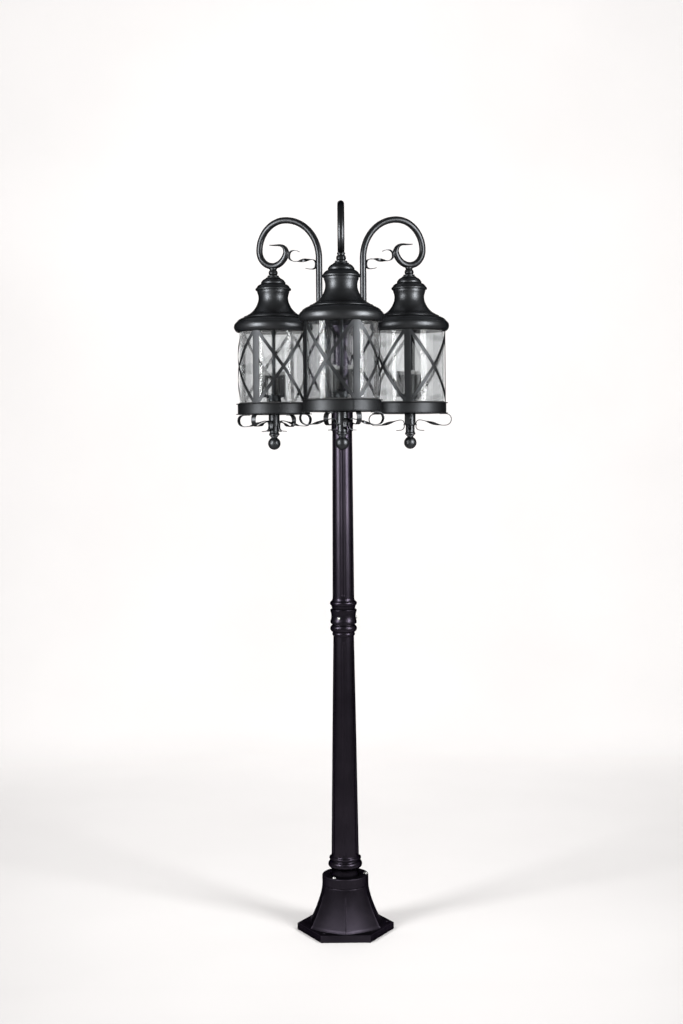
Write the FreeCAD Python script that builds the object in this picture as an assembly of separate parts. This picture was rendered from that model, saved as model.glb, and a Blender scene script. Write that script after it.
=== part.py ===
import FreeCAD, Part
import math
import os

# Garden lamp post with three hanging lanterns, in millimetres.
# Origin: centre of the hexagonal plinth's underside, on the post axis. +Z is up.
# One arm points along -Y (front), one to the right and back, one to the left and back.

V = FreeCAD.Vector
UP = V(0, 0, 1)
ALONG_Y = V(0, 1, 0)

# ---------------------------------------------------------------- driving dimensions
ARM_AZIMUTH = {"front": -90.0, "right": 30.0, "left": 150.0}
# How far each lantern is turned on its rod, counted from the direction of its arm.
LANTERN_TURN = {"front": 22.0, "right": -36.0, "left": 3.0}
CANDLE_TURN = {"front": 68.0, "right": 6.0, "left": 57.0}
LANTERN_REACH = 258.0

# base
PLINTH_R = 154.0
PLINTH_H = 22.0
BELL_TOP = 147.0
BELL_TOP_R = 73.8
BELL_FLARE = 42.2
BELL_CORNER = 9.0
BELL_WALL = 7.0
BELL_ROOF = 15.0
CABLE_HOLE_R = 34.0
ANCHOR_CIRCLE_R = 134.0
ANCHOR_HOLE_R = 5.5

# clamp ring on top of the bell
RING_TOP = 178.0
RING_BORE_R = 46.0
FOOT_FLANGE_R = 55.0
FOOT_FLANGE_TOP = 156.0
RING_SCREW_CIRCLE_R = 65.0
RING_SCREW_AZIMUTHS = (-123.0, -3.0, 117.0)
RING_SCREW_R = 3.0
SCREW_HEAD_R = 5.0
SCREW_HEAD_H = 4.0

# poles
SHAFT_LOW_Z = 239.0
SHAFT_LOW_R = 43.7
SHAFT_MID_Z = 652.0
SHAFT_MID_R = 37.8
SHAFT_HIGH_Z = 937.0
SHAFT_HIGH_R = 33.1
SPIGOT_R = 36.8
JOINT_Z = 1001.0
SLEEVE_LOW_Z = 978.0
SLEEVE_HIGH_Z = 1024.0
UPPER_SHAFT_Z = 1065.0
UPPER_SHAFT_R = 34.6
POLE_TOP_Z = 1640.0
POLE_TOP_R = 31.5
POLE_BORE_R = 28.0
FLUTES = 6
FLUTE_CUTTER_R = 10.0
FLUTE_DEPTH = 2.0
SET_SCREW_R = 3.0
SET_SCREW_AZIMUTHS = (-112.0, 8.0, 128.0)

# hub
HUB_LOW_Z = 1593.0
HUB_TUBE_R = 34.5
HUB_R = 46.0
HUB_TOP_Z = 1978.0
HUB_FLOOR_Z = 1902.0
HUB_WALL = 4.0

# arms
TUBE_R = 10.5
TUBE_BORE_R = 7.5
ELBOW_R = 30.0
ELBOW_Z = 1950.0
LEG_REACH = 82.0
SPRING_Z = 2149.5
BIG_ARC_R = 135.0
MID_ARC_R = 94.0
LOOP_R = 53.0
LOOP_Z = SPRING_Z + BIG_ARC_R - MID_ARC_R
LOOP_BOTTOM_Z = LOOP_Z - LOOP_R
LOOP_ANGLE = 164.0
BORE_ANGLE = 102.0
WIRE_HOLE_R = 3.2
WIRE_R = 1.8
WIRE_TURN_R = 8.0
WIRE_BEND_R = 12.0
BLOCK_H = 18.0
CABLE_R = 4.0
CABLE_TURN_R = 20.0

# lantern, heights on its own axis
KNUCKLE_LOW_Z = 2106.4
KNUCKLE_SEAT = 16.4
CROWN_TOP_Z = 2106.0
CROWN_LEDGE_Z = 2063.0
RIM_LOW_Z = 1920.5
GLASS_R = 113.2
GLASS_WALL = 2.8
GLASS_LOW_Z = 1687.5
GLASS_HIGH_Z = 1919.0
CAGE_R = 117.5
CAGE_SHEET = 2.0
CAGE_TOP_Z = 1940.0
HOOP_LOW_Z = 1926.0
BAR_WIDTH = 22.0
BRACE_WIDTH = 10.5
BRACE_LOW_Z = 1692.0
BRACE_HIGH_Z = 1914.0
TRAY_LOW_Z = 1650.0
TRAY_TOP_Z = 1685.5
TRAY_WEB_R = 118.4
TRAY_FLANGE_R = 124.8
SHEET = 2.0
ROD_R = 6.0
ROD_THREAD_R = 5.0
ROD_BORE_R = 3.0
ROD_TOP_Z = 2122.0
ROD_LOW_Z = 1562.0
SLIDE_BORE_R = 6.08
THREAD_BORE_R = 5.06
CLUSTER_LOW_Z = 1690.0
CLUSTER_TOP_Z = 1713.0
CLUSTER_R = 24.5
CANDLE_CIRCLE_R = 33.0
CANDLE_R = 12.0
CANDLE_TOP_Z = 1778.0
HOLDER_TOP_Z = 1790.0
HOLDER_R = 10.8
SOCKET_R = 7.0
SOCKET_DEPTH = 26.0
STEM_LOW_Z = 1580.0
BALL_R = 20.5
BALL_Z = 1554.5
STRAP_WIDTH = 16.0
ARM_STRAP_WIDTH = 12.0
STRAP_SHEET = 2.0


# ---------------------------------------------------------------- helpers
def path(start, *steps):
    """Edges in the X-Z plane. A step is (x, z) for a line or (xm, zm, x, z) for an arc."""
    edges = []
    here = V(start[0], 0, start[1])
    for step in steps:
        there = V(step[-2], 0, step[-1])
        if len(step) == 4:
            edges.append(Part.Arc(here, V(step[0], 0, step[1]), there).toShape())
        else:
            edges.append(Part.makeLine(here, there))
        here = there
    return edges


def turned(start, *steps):
    """Solid of revolution about Z from a closed outline that starts and ends at start."""
    face = Part.Face(Part.Wire(path(start, *steps, start)))
    return face.revolve(V(0, 0, 0), UP, 360)


def cylinder(radius, low, high, x=0.0, y=0.0):
    return Part.makeCylinder(radius, high - low, V(x, y, low), UP)


def polar(radius, azimuth, z=0.0):
    angle = math.radians(azimuth)
    return V(radius * math.cos(angle), radius * math.sin(angle), z)


def spun(shape, azimuth):
    """A copy turned about the Z axis."""
    copy = shape.copy()
    copy.rotate(V(0, 0, 0), UP, azimuth)
    return copy


def moved(shape, offset):
    copy = shape.copy()
    copy.translate(offset)
    return copy


def around(shape, azimuths):
    return [spun(shape, azimuth) for azimuth in azimuths]


def joined(shapes):
    first, *rest = shapes
    return first.multiFuse(rest).removeSplitter() if rest else first


def strip(edges, width):
    """A flat strap: a path in the X-Z plane given a sheet thickness, and width along Y."""
    face = Part.Wire(edges).makeOffset2D(STRAP_SHEET, 0, True, True)
    solid = face.extrude(V(0, width, 0))
    return moved(solid, V(0, -width / 2, 0))


def export(name, shapes):
    solids = []
    for shape in shapes if isinstance(shapes, list) else [shapes]:
        solids.extend(shape.Solids)
    whole = solids[0] if len(solids) == 1 else Part.makeCompound(solids)
    bad = [s for s in solids if not s.isValid() or s.Volume <= 0]
    print(f"{name}: {len(solids)} solid(s), {whole.Volume / 1000:.1f} cm3{', BAD' if bad else ''}")
    whole.exportStep(f"parts/{name}.step")


# ---------------------------------------------------------------- base
def bell_radius(z):
    """Distance from the axis to the middle of a facet of the bell."""
    share = (BELL_TOP - z) / (BELL_TOP - PLINTH_H)
    return BELL_TOP_R + BELL_FLARE * share ** 1.5


def bell_corner(z):
    """How far a corner of the bell stands out past the middle of a facet."""
    return BELL_CORNER * (BELL_TOP - z) / (BELL_TOP - PLINTH_H)


def bell_section(z, inset=0.0):
    """Six bowed facets, with corners on +Y and -Y."""
    middle = bell_radius(z) - inset
    corner = middle + bell_corner(z) + 0.01
    edges = []
    for k in range(6):
        a = polar(corner, 30 + 60 * k, z)
        b = polar(middle, 60 + 60 * k, z)
        c = polar(corner, 90 + 60 * k, z)
        edges.append(Part.Arc(a, b, c).toShape())
    return Part.Wire(edges)


def base_pedestal():
    """Hexagonal plinth under a hollow bell that blends from six facets to round."""
    corners = [polar(PLINTH_R, 60 * k, 0) for k in range(7)]
    plinth = Part.Face(Part.makePolygon(corners)).extrude(V(0, 0, PLINTH_H))
    top_edges = [e for e in plinth.Edges if min(v.Z for v in e.Vertexes) > PLINTH_H - 0.1]
    plinth = plinth.makeFillet(3.0, top_edges)
    heights = [PLINTH_H - 6, 40, 58, 76, 94, 112, 130, BELL_TOP]
    bell = Part.makeLoft([bell_section(z) for z in heights], True, False)
    roof = BELL_TOP - BELL_ROOF
    inner = [z for z in heights if z < roof] + [roof]
    hollow = Part.makeLoft([bell_section(z, BELL_WALL) for z in inner], True, False)
    well = Part.Face(bell_section(PLINTH_H - 6, BELL_WALL)).extrude(V(0, 0, 6 - PLINTH_H - 1))
    body = plinth.fuse(bell).cut(joined([hollow, well]))
    body = body.cut(cylinder(CABLE_HOLE_R, roof - 1, BELL_TOP + 1))
    for k in range(3):
        at = polar(ANCHOR_CIRCLE_R, 120 * k)
        body = body.cut(cylinder(ANCHOR_HOLE_R, -1, PLINTH_H + 1, at.x, at.y))
    for azimuth in RING_SCREW_AZIMUTHS:
        at = polar(RING_SCREW_CIRCLE_R, azimuth)
        body = body.cut(cylinder(RING_SCREW_R, roof + 3, BELL_TOP + 1, at.x, at.y))
    return body


def clamp_ring():
    """Collar that traps the pole's foot flange on the bell."""
    ring = turned(
        (FOOT_FLANGE_R + 0.3, BELL_TOP),
        (BELL_TOP_R - 0.8, BELL_TOP), (BELL_TOP_R, BELL_TOP + 1.5),
        (BELL_TOP_R, RING_TOP - 4),
        (BELL_TOP_R - 1.2, RING_TOP - 1.2, BELL_TOP_R - 4, RING_TOP),
        (RING_BORE_R, RING_TOP), (RING_BORE_R, FOOT_FLANGE_TOP),
        (FOOT_FLANGE_R + 0.3, FOOT_FLANGE_TOP),
    )
    for azimuth in RING_SCREW_AZIMUTHS:
        at = polar(RING_SCREW_CIRCLE_R, azimuth)
        ring = ring.cut(cylinder(RING_SCREW_R, BELL_TOP - 1, RING_TOP + 1, at.x, at.y))
    return ring


def clamp_screws():
    """Three pan-head screws down through the clamp ring into the bell."""
    low = BELL_TOP - BELL_ROOF + 3
    screw = turned(
        (0, low), (RING_SCREW_R, low), (RING_SCREW_R, RING_TOP),
        (SCREW_HEAD_R, RING_TOP), (SCREW_HEAD_R, RING_TOP + SCREW_HEAD_H - 1.5),
        (SCREW_HEAD_R - 1.5, RING_TOP + SCREW_HEAD_H), (0, RING_TOP + SCREW_HEAD_H),
    )
    screw = screw.cut(Part.makeBox(12, 1.2, 3, V(-6, -0.6, RING_TOP + SCREW_HEAD_H - 1.4)))
    return [moved(screw, polar(RING_SCREW_CIRCLE_R, azimuth)) for azimuth in RING_SCREW_AZIMUTHS]


# ---------------------------------------------------------------- poles
def fluted(pole, low, high):
    """Cut shallow round-ended flutes. low and high are (z, shaft radius) at their ends."""
    out = FLUTE_CUTTER_R - FLUTE_DEPTH
    start = V(low[1] + out, 0, low[0])
    end = V(high[1] + out, 0, high[0])
    run = end - start
    cutter = Part.makeCylinder(FLUTE_CUTTER_R, run.Length, start, run)
    for tip in (start, end):
        cutter = cutter.fuse(Part.makeSphere(FLUTE_CUTTER_R, tip))
    return pole.cut(around(cutter, [-90 + k * 360 / FLUTES for k in range(FLUTES)]))


def lower_pole():
    """Foot flange, scotia, torus and ring, tapered fluted shaft, top torus and spigot."""
    pole = turned(
        (CABLE_HOLE_R, BELL_TOP),
        (FOOT_FLANGE_R, BELL_TOP), (FOOT_FLANGE_R, FOOT_FLANGE_TOP),
        (44.8, FOOT_FLANGE_TOP), (44.8, 180),
        (43.6, 190, 46.5, 199.5), (54.2, 210.5, 46.5, 221.5),
        (45.6, 223.5), (46.0, 224.5), (50.6, 230, 46.0, 235.5),
        (SHAFT_LOW_R, SHAFT_LOW_Z), (SHAFT_MID_R, SHAFT_MID_Z), (SHAFT_HIGH_R, SHAFT_HIGH_Z),
        (33.4, 939), (36.2, 943.5, 35.0, 948.5), (35.6, 951.5),
        (42.8, 963, 36.6, 973.5), (SPIGOT_R, 976), (SPIGOT_R, JOINT_Z),
        (POLE_BORE_R, JOINT_Z), (POLE_BORE_R, SHAFT_HIGH_Z),
        (38.0, SHAFT_LOW_Z), (CABLE_HOLE_R, 200),
    )
    return fluted(pole, (SHAFT_LOW_Z + 11, SHAFT_LOW_R), (SHAFT_HIGH_Z - 22, SHAFT_HIGH_R + 0.4))


def coupling_sleeve():
    """Waisted sleeve over the joint between the two poles, with holes for its set screws."""
    bore = SPIGOT_R + 0.15
    sleeve = turned(
        (bore, SLEEVE_LOW_Z), (40.6, SLEEVE_LOW_Z), (42.0, 980.5), (42.0, 986.5),
        (39.2, 1003, 42.2, 1018), (42.2, 1022), (40.8, SLEEVE_HIGH_Z), (bore, SLEEVE_HIGH_Z),
    )
    return sleeve.cut(set_screw_cutters(997.0, 44.0))


def set_screw_cutters(z, reach):
    cutter = Part.makeCylinder(SET_SCREW_R, reach - 30.0, V(30.0, 0, z), V(1, 0, 0))
    return around(cutter, SET_SCREW_AZIMUTHS)


def set_screw(z, tip_r, seat_r):
    """Round-head screw along the radius, its tip against the inner tube."""
    length = seat_r - tip_r
    shank = Part.makeCylinder(SET_SCREW_R, length, V(tip_r, 0, z), V(1, 0, 0))
    head = Part.makeCylinder(SCREW_HEAD_R, 3.0, V(seat_r, 0, z), V(1, 0, 0))
    slot = Part.makeBox(2, 12, 1.2, V(seat_r + 1.8, -6, z - 0.6))
    return shank.fuse(head).cut(slot)


def set_screws():
    """Three screws in the coupling sleeve and three in the hub tube."""
    coupling = around(set_screw(997.0, SPIGOT_R + 0.05, 42.3), SET_SCREW_AZIMUTHS)
    hub = around(set_screw(HUB_LOW_Z + 22, 31.75, HUB_TUBE_R + 0.05), SET_SCREW_AZIMUTHS)
    return coupling + hub


def upper_pole():
    """Spigot, flared foot ring and slender fluted shaft that ends inside the hub tube."""
    foot = JOINT_Z + 26.0
    pole = turned(
        (POLE_BORE_R, JOINT_Z), (SPIGOT_R, JOINT_Z), (SPIGOT_R, foot),
        (38.2, 1031.5, 38.8, 1035.5), (43.2, 1043, 38.4, 1050),
        (35.8, 1054.5, UPPER_SHAFT_R + 0.1, 1062), (UPPER_SHAFT_R, UPPER_SHAFT_Z),
        (POLE_TOP_R, POLE_TOP_Z), (POLE_BORE_R, POLE_TOP_Z),
    )
    return fluted(pole, (UPPER_SHAFT_Z + 10, UPPER_SHAFT_R), (HUB_LOW_Z - 14, POLE_TOP_R + 0.3))


# ---------------------------------------------------------------- hub and arms
def head_hub():
    """Tube over the pole's top that widens into a drum with three side holes for the arms."""
    hub = turned(
        (31.9, HUB_LOW_Z), (HUB_TUBE_R - 0.8, HUB_LOW_Z), (HUB_TUBE_R, HUB_LOW_Z + 1),
        (HUB_TUBE_R, 1894), (40.5, 1897, HUB_TUBE_R + 1.5, 1903),
        (HUB_TUBE_R + 3.5, 1914, HUB_R - 1, 1922), (HUB_R, 1924),
        (HUB_R, HUB_TOP_Z - 2), (HUB_R - 2, HUB_TOP_Z),
        (HUB_R - HUB_WALL, HUB_TOP_Z), (HUB_R - HUB_WALL, 1924),
        (31.9, 1910), (31.9, HUB_FLOOR_Z), (10.0, HUB_FLOOR_Z), (10.0, HUB_FLOOR_Z - 4),
        (31.9, HUB_FLOOR_Z - 4),
    )
    hole = Part.makeCylinder(TUBE_R, 30, V(HUB_R - 20, 0, ELBOW_Z), V(1, 0, 0))
    hub = hub.cut(around(hole, ARM_AZIMUTH.values()))
    cutter = Part.makeCylinder(SET_SCREW_R, 6, V(30.5, 0, HUB_LOW_Z + 22), V(1, 0, 0))
    return hub.cut(around(cutter, SET_SCREW_AZIMUTHS))


def hub_cap():
    """Domed lid over the wiring space, with a small ball on top."""
    z = HUB_TOP_Z
    inner = HUB_R - HUB_WALL - 0.2
    return turned(
        (0, z + 30), (5, z + 25, 3, z + 21), (3, z + 20.5), (6, z + 18.5),
        (30, z + 13.5, HUB_R - 4, z + 4), (HUB_R - 1, z + 2.5), (HUB_R - 1, z),
        (inner, z), (inner, z - 8), (inner - 2, z - 8), (inner - 2, z + 1),
        (26, z + 9.5, 10, z + 13.5), (0, z + 13.5),
    )


def disc(centre, normal, radius):
    return Part.Face(Part.Wire(Part.makeCircle(radius, centre, normal)))


def along_arm(radius, start_x, loop_angle):
    """A round bar that follows the arm's centre line in the X-Z plane, +X outwards."""
    ahead = V(1, 0, 0)
    turn_x = LEG_REACH - ELBOW_R
    big_x = LEG_REACH + BIG_ARC_R
    low_z = ELBOW_Z + ELBOW_R
    stub = disc(V(start_x, 0, ELBOW_Z), ahead, radius).extrude(V(turn_x - start_x, 0, 0))
    elbow = disc(V(turn_x, 0, ELBOW_Z), ahead, radius).revolve(
        V(turn_x, 0, low_z), V(0, -1, 0), 90)
    leg = disc(V(LEG_REACH, 0, low_z), UP, radius).extrude(V(0, 0, SPRING_Z - low_z))
    big_arc = disc(V(LEG_REACH, 0, SPRING_Z), UP, radius).revolve(
        V(big_x, 0, SPRING_Z), ALONG_Y, 90)
    mid_arc = disc(V(big_x, 0, LOOP_Z + MID_ARC_R), ahead, radius).revolve(
        V(big_x, 0, LOOP_Z), ALONG_Y, 90)
    loop = disc(V(big_x + MID_ARC_R, 0, LOOP_Z), V(0, 0, -1), radius).revolve(
        V(LANTERN_REACH, 0, LOOP_Z), ALONG_Y, loop_angle)
    return [stub, elbow, leg, big_arc, mid_arc, loop]


def leaf_section(x, z, heading, thick, wide):
    """Ellipse across the leaf: wide along Y, thick across its run. heading is in degrees."""
    centre = V(x, 0, z)
    across = V(-math.sin(math.radians(heading)), 0, math.cos(math.radians(heading)))
    return Part.Wire(Part.Ellipse(centre + V(0, wide, 0), centre + across * thick, centre).toShape())


def leaf():
    """Forged end of the loop: the bar thins to a leaf that curls back outwards."""
    x = LANTERN_REACH
    z = LOOP_BOTTOM_Z
    sections = [
        leaf_section(x - 50.2, z + 36.0, 108, 10.2, 10.3),
        leaf_section(x - 50.4, z + 46.0, 82, 8.6, 10.2),
        leaf_section(x - 45.0, z + 56.5, 52, 6.4, 10.0),
        leaf_section(x - 32.0, z + 64.5, 24, 4.2, 9.4),
        leaf_section(x - 12.0, z + 68.0, 5, 2.6, 7.6),
        leaf_section(x + 13.0, z + 69.5, 4, 1.4, 3.2),
    ]
    return Part.makeLoft(sections, True, False)


def arm():
    """Bent tube: out of the hub, up, over in three arcs, round the loop, and the leaf."""
    start_x = HUB_R - 16
    bar = joined(along_arm(TUBE_R, start_x, LOOP_ANGLE) + [leaf()])
    bore = joined(along_arm(TUBE_BORE_R, start_x - 1, BORE_ANGLE))
    hole = cylinder(WIRE_HOLE_R, LOOP_BOTTOM_Z - 15, LOOP_BOTTOM_Z, LANTERN_REACH)
    return bar.cut(bore).cut(hole)


def arm_scroll():
    """Flat strap between the arm's leg and its loop, curling away at both ends."""
    z = LOOP_BOTTOM_Z
    leg = LEG_REACH + TUBE_R
    edges = path(
        (132, z - 15), (118, z - 18.5, 104, z - 19.2), (leg + 4.4, z - 13, leg + 2.6, z - 2),
        (leg + 6.5, z + 7.0, 113, z + 11.5), (140, z + 10.6, 170, z + 10), (187, z + 13, 196, z + 23),
        (196.2, z + 32, 191, z + 41.5), (182, z + 46.6, 170, z + 45.5), (163, z + 43.6, 157, z + 41),
    )
    return strip(edges, ARM_STRAP_WIDTH)


def knuckle():
    """Rounded nut under the loop that takes the lantern's rod."""
    z = KNUCKLE_LOW_Z
    body = turned(
        (THREAD_BORE_R, z), (12.2, z), (13.0, z + 1.0), (15.0, z + 9.5, 12.4, z + 17.5),
        (11.6, z + 18.5), (11.6, z + 25), (WIRE_HOLE_R, z + 25), (WIRE_HOLE_R, z + KNUCKLE_SEAT),
        (THREAD_BORE_R, z + KNUCKLE_SEAT),
    )
    body = moved(body, V(LANTERN_REACH, 0, 0))
    loop = Part.makeTorus(LOOP_R, TUBE_R, V(LANTERN_REACH, 0, LOOP_Z), ALONG_Y)
    return max(body.cut(loop).Solids, key=lambda solid: solid.Volume)


# ---------------------------------------------------------------- wiring
def terminal_blocks():
    """One block under the bell's roof and one standing on the hub's floor."""
    low_top = BELL_TOP - BELL_ROOF
    low = Part.makeBox(24, 30, BLOCK_H, V(CABLE_HOLE_R + 4, -15, low_top - BLOCK_H))
    high = Part.makeBox(24, 30, BLOCK_H, V(-12, -15, HUB_FLOOR_Z))
    return [low, high]


def riser_cable():
    """Cable from the lower block, up the middle of both poles, to the upper block."""
    z = BELL_TOP - BELL_ROOF - 9
    block_x = CABLE_HOLE_R + 4
    back = V(-1, 0, 0)
    run = disc(V(block_x, 0, z), back, CABLE_R).extrude(V(CABLE_TURN_R - block_x, 0, 0))
    bend = disc(V(CABLE_TURN_R, 0, z), back, CABLE_R).revolve(
        V(CABLE_TURN_R, 0, z + CABLE_TURN_R), ALONG_Y, 90)
    rise = cylinder(CABLE_R, z + CABLE_TURN_R, HUB_FLOOR_Z)
    return joined([run, bend, rise])


def arm_wire():
    """Wire from the upper block through the arm's tube and down into the knuckle."""
    rise_x = 4.0
    bend_x = rise_x + WIRE_BEND_R
    low_z = ELBOW_Z - WIRE_BEND_R
    rise = cylinder(WIRE_R, HUB_FLOOR_Z + BLOCK_H, low_z, rise_x)
    bend = disc(V(rise_x, 0, low_z), UP, WIRE_R).revolve(V(bend_x, 0, low_z), ALONG_Y, 90)
    # The last bend is tangent to the loop and to the upright hole under it.
    reach = LOOP_R + WIRE_TURN_R
    stop = math.degrees(math.acos(WIRE_TURN_R / reach))
    turn = math.radians(stop)
    at = V(LANTERN_REACH + LOOP_R * math.cos(turn), 0, LOOP_Z - LOOP_R * math.sin(turn))
    heading = V(-math.sin(turn), 0, -math.cos(turn))
    centre = V(LANTERN_REACH + WIRE_TURN_R, 0, LOOP_Z - math.sqrt(reach ** 2 - WIRE_TURN_R ** 2))
    last = disc(at, heading, WIRE_R).revolve(centre, V(0, -1, 0), stop)
    drop = cylinder(WIRE_R, KNUCKLE_LOW_Z + KNUCKLE_SEAT, centre.z, LANTERN_REACH)
    return joined([rise, bend] + along_arm(WIRE_R, bend_x, stop) + [last, drop])


# ---------------------------------------------------------------- lantern
def crown():
    """Stepped spinning that closes the top of the cap and rides on the rod."""
    top = CROWN_TOP_Z
    ledge = CROWN_LEDGE_Z
    return turned(
        (ROD_R + 0.05, top), (18.7, top), (18.9, top - 4.5), (24.0, top - 8.6),
        (24.6, top - 9.6), (33.5, top - 14.5, 39.0, top - 22.5), (40.4, top - 23.5),
        (40.6, top - 28), (42.0, top - 30), (50.5, top - 34.5, 54.5, top - 41),
        (58.6, top - 45.5, 55.5, top - 50), (53.6, top - 50), (53.6, ledge), (48.0, ledge),
        (36.5, ledge + 13), (36.0, top - 24), (30.5, top - 17.5, 22.0, top - 12.5),
        (14.0, top - 9), (ROD_R + 0.05, top - 9),
    )


def cap():
    """Spun roof: neck, flared shoulder with a lip, and a deep half-round rim."""
    return turned(
        (52.8, CROWN_LEDGE_Z), (53.0, 2051), (48.8, 2031.6, 53.3, 2012),
        (62.0, 1996.2, 79.4, 1979.8), (80.6, 1979.4), (87.8, 1974.6, 93.4, 1968.6),
        (95.0, 1968.2), (107.5, 1964.2, 118.0, 1957.8), (121.0, 1953.2),
        (130.0, 1936.0, 120.4, RIM_LOW_Z), (118.2, RIM_LOW_Z), (127.9, 1936.2, 119.4, 1951.8),
        (116.6, 1955.8), (106.5, 1961.8, 94.4, 1965.6), (92.4, 1966.0),
        (86.4, 1972.6, 79.6, 1977.2), (60.4, 1994.8, 51.5, 2011.2),
        (46.8, 2031.6, 51.0, 2051.5), (50.8, CROWN_LEDGE_Z),
    )


def glass():
    """Clear glass cylinder."""
    return cylinder(GLASS_R, GLASS_LOW_Z, GLASS_HIGH_Z).cut(
        cylinder(GLASS_R - GLASS_WALL, GLASS_LOW_Z - 1, GLASS_HIGH_Z + 1))


def gasket():
    """Rubber ring between the glass and the tray."""
    return cylinder(GLASS_R + 1, TRAY_TOP_Z, GLASS_LOW_Z).cut(
        cylinder(GLASS_R - GLASS_WALL - 0.6, TRAY_TOP_Z - 1, GLASS_LOW_Z + 1))


def brace_face(slope):
    """One diagonal of a brace, drawn on the plane across the middle of its quarter.

    A strap bent round the cylinder is straight on the unrolled sheet, so its two
    edges are curves through points carried over from there.
    """
    radius = CAGE_R - CAGE_SHEET / 2
    reach = radius * math.radians(43.5)
    corner = radius * math.radians(39.6)
    rise = (BRACE_HIGH_Z - BRACE_LOW_Z) / (2 * corner)
    middle = (BRACE_LOW_Z + BRACE_HIGH_Z) / 2
    half = BRACE_WIDTH / 2 * math.hypot(1, rise)
    edges = []
    ends = []
    for side in (-1, 1):
        points = []
        for share in (-1, -0.5, 0, 0.5, 1):
            along = share * reach
            height = middle + slope * rise * along + side * half
            points.append(V(0, radius * math.sin(along / radius), height))
        curve = Part.BSplineCurve()
        curve.interpolate(points)
        edges.append(curve.toShape())
        ends.append((points[0], points[-1]))
    edges.append(Part.makeLine(ends[0][0], ends[1][0]))
    edges.append(Part.makeLine(ends[0][1], ends[1][1]))
    return Part.Face(Part.Wire(Part.__sortEdges__(edges)))


def cage():
    """Four upright bars and four crossed braces of sheet, rolled to a cylinder."""
    inner = CAGE_R - CAGE_SHEET
    shell = cylinder(CAGE_R, TRAY_TOP_Z, CAGE_TOP_Z).cut(
        cylinder(inner, TRAY_TOP_Z - 1, CAGE_TOP_Z + 1))
    near = 0.5 * CAGE_R
    depth = V(0.6 * CAGE_R, 0, 0)
    bar = Part.makeBox(
        depth.x, BAR_WIDTH, CAGE_TOP_Z - TRAY_TOP_Z, V(near, -BAR_WIDTH / 2, TRAY_TOP_Z))
    braces = [moved(brace_face(slope), V(near, 0, 0)).extrude(depth) for slope in (-1, 1)]
    pieces = around(bar, [0, 90, 180, 270])
    for brace in braces:
        pieces.extend(around(brace, [45, 135, 225, 315]))
    pieces = [shell.common(part) for part in pieces]
    hoop = cylinder(CAGE_R, HOOP_LOW_Z, CAGE_TOP_Z).cut(
        cylinder(inner, HOOP_LOW_Z - 1, CAGE_TOP_Z + 1))
    return joined([hoop] + pieces)


def tray():
    """Spun pan under the glass: floor, web and two thin flanges."""
    return turned(
        (SLIDE_BORE_R, TRAY_LOW_Z), (TRAY_FLANGE_R, TRAY_LOW_Z),
        (TRAY_FLANGE_R, TRAY_LOW_Z + SHEET), (TRAY_WEB_R, TRAY_LOW_Z + SHEET),
        (TRAY_WEB_R, TRAY_TOP_Z - SHEET), (TRAY_FLANGE_R, TRAY_TOP_Z - SHEET),
        (TRAY_FLANGE_R, TRAY_TOP_Z), (108.0, TRAY_TOP_Z), (108.0, TRAY_TOP_Z - SHEET),
        (TRAY_WEB_R - SHEET, TRAY_TOP_Z - SHEET), (TRAY_WEB_R - SHEET, TRAY_LOW_Z + SHEET),
        (SLIDE_BORE_R, TRAY_LOW_Z + SHEET),
    )


def rod():
    """Hollow rod from the knuckle down to the finial, threaded at both ends."""
    shoulder = CROWN_TOP_Z
    low = STEM_LOW_Z + 1
    bore_low = CLUSTER_LOW_Z + 10
    return turned(
        (0, ROD_LOW_Z), (ROD_THREAD_R, ROD_LOW_Z), (ROD_THREAD_R, low), (ROD_R, low),
        (ROD_R, shoulder), (ROD_THREAD_R, shoulder), (ROD_THREAD_R, ROD_TOP_Z),
        (ROD_BORE_R, ROD_TOP_Z), (ROD_BORE_R, bore_low), (0, bore_low),
    )


def lamp_lead():
    """Lead inside the rod, from the knuckle down to the cluster."""
    return cylinder(WIRE_R, CLUSTER_LOW_Z + 11, ROD_TOP_Z - 0.5)


def cluster():
    """Wiring body on the rod with a pad under each candle."""
    body = turned(
        (ROD_R + 0.05, CLUSTER_LOW_Z), (19.5, CLUSTER_LOW_Z),
        (23.2, CLUSTER_LOW_Z + 1.6, CLUSTER_R, CLUSTER_LOW_Z + 6),
        (CLUSTER_R, CLUSTER_TOP_Z - 2), (CLUSTER_R - 2, CLUSTER_TOP_Z),
        (ROD_R + 0.05, CLUSTER_TOP_Z),
    )
    pad = cylinder(CANDLE_R + 1.5, CLUSTER_TOP_Z - 7, CLUSTER_TOP_Z, CANDLE_CIRCLE_R)
    whole = joined([body] + around(pad, [0, 120, 240]))
    return whole.cut(cylinder(ROD_R + 0.05, CLUSTER_LOW_Z - 1, CLUSTER_TOP_Z + 1))


def candle_sleeves():
    """Three tubes that hide the lamp holders."""
    tube = cylinder(CANDLE_R, CLUSTER_TOP_Z, CANDLE_TOP_Z).cut(
        cylinder(HOLDER_R + 0.1, CLUSTER_TOP_Z - 1, CANDLE_TOP_Z + 1))
    return around(moved(tube, V(CANDLE_CIRCLE_R, 0, 0)), [0, 120, 240])


def lamp_holders():
    """Three small screw lamp holders whose collars close the sleeves."""
    holder = turned(
        (0, CLUSTER_TOP_Z), (HOLDER_R, CLUSTER_TOP_Z), (HOLDER_R, CANDLE_TOP_Z),
        (CANDLE_R, CANDLE_TOP_Z), (CANDLE_R, HOLDER_TOP_Z - 1), (CANDLE_R - 1, HOLDER_TOP_Z),
        (SOCKET_R, HOLDER_TOP_Z), (SOCKET_R, HOLDER_TOP_Z - SOCKET_DEPTH),
        (0, HOLDER_TOP_Z - SOCKET_DEPTH),
    )
    return around(moved(holder, V(CANDLE_CIRCLE_R, 0, 0)), [0, 120, 240])


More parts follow.
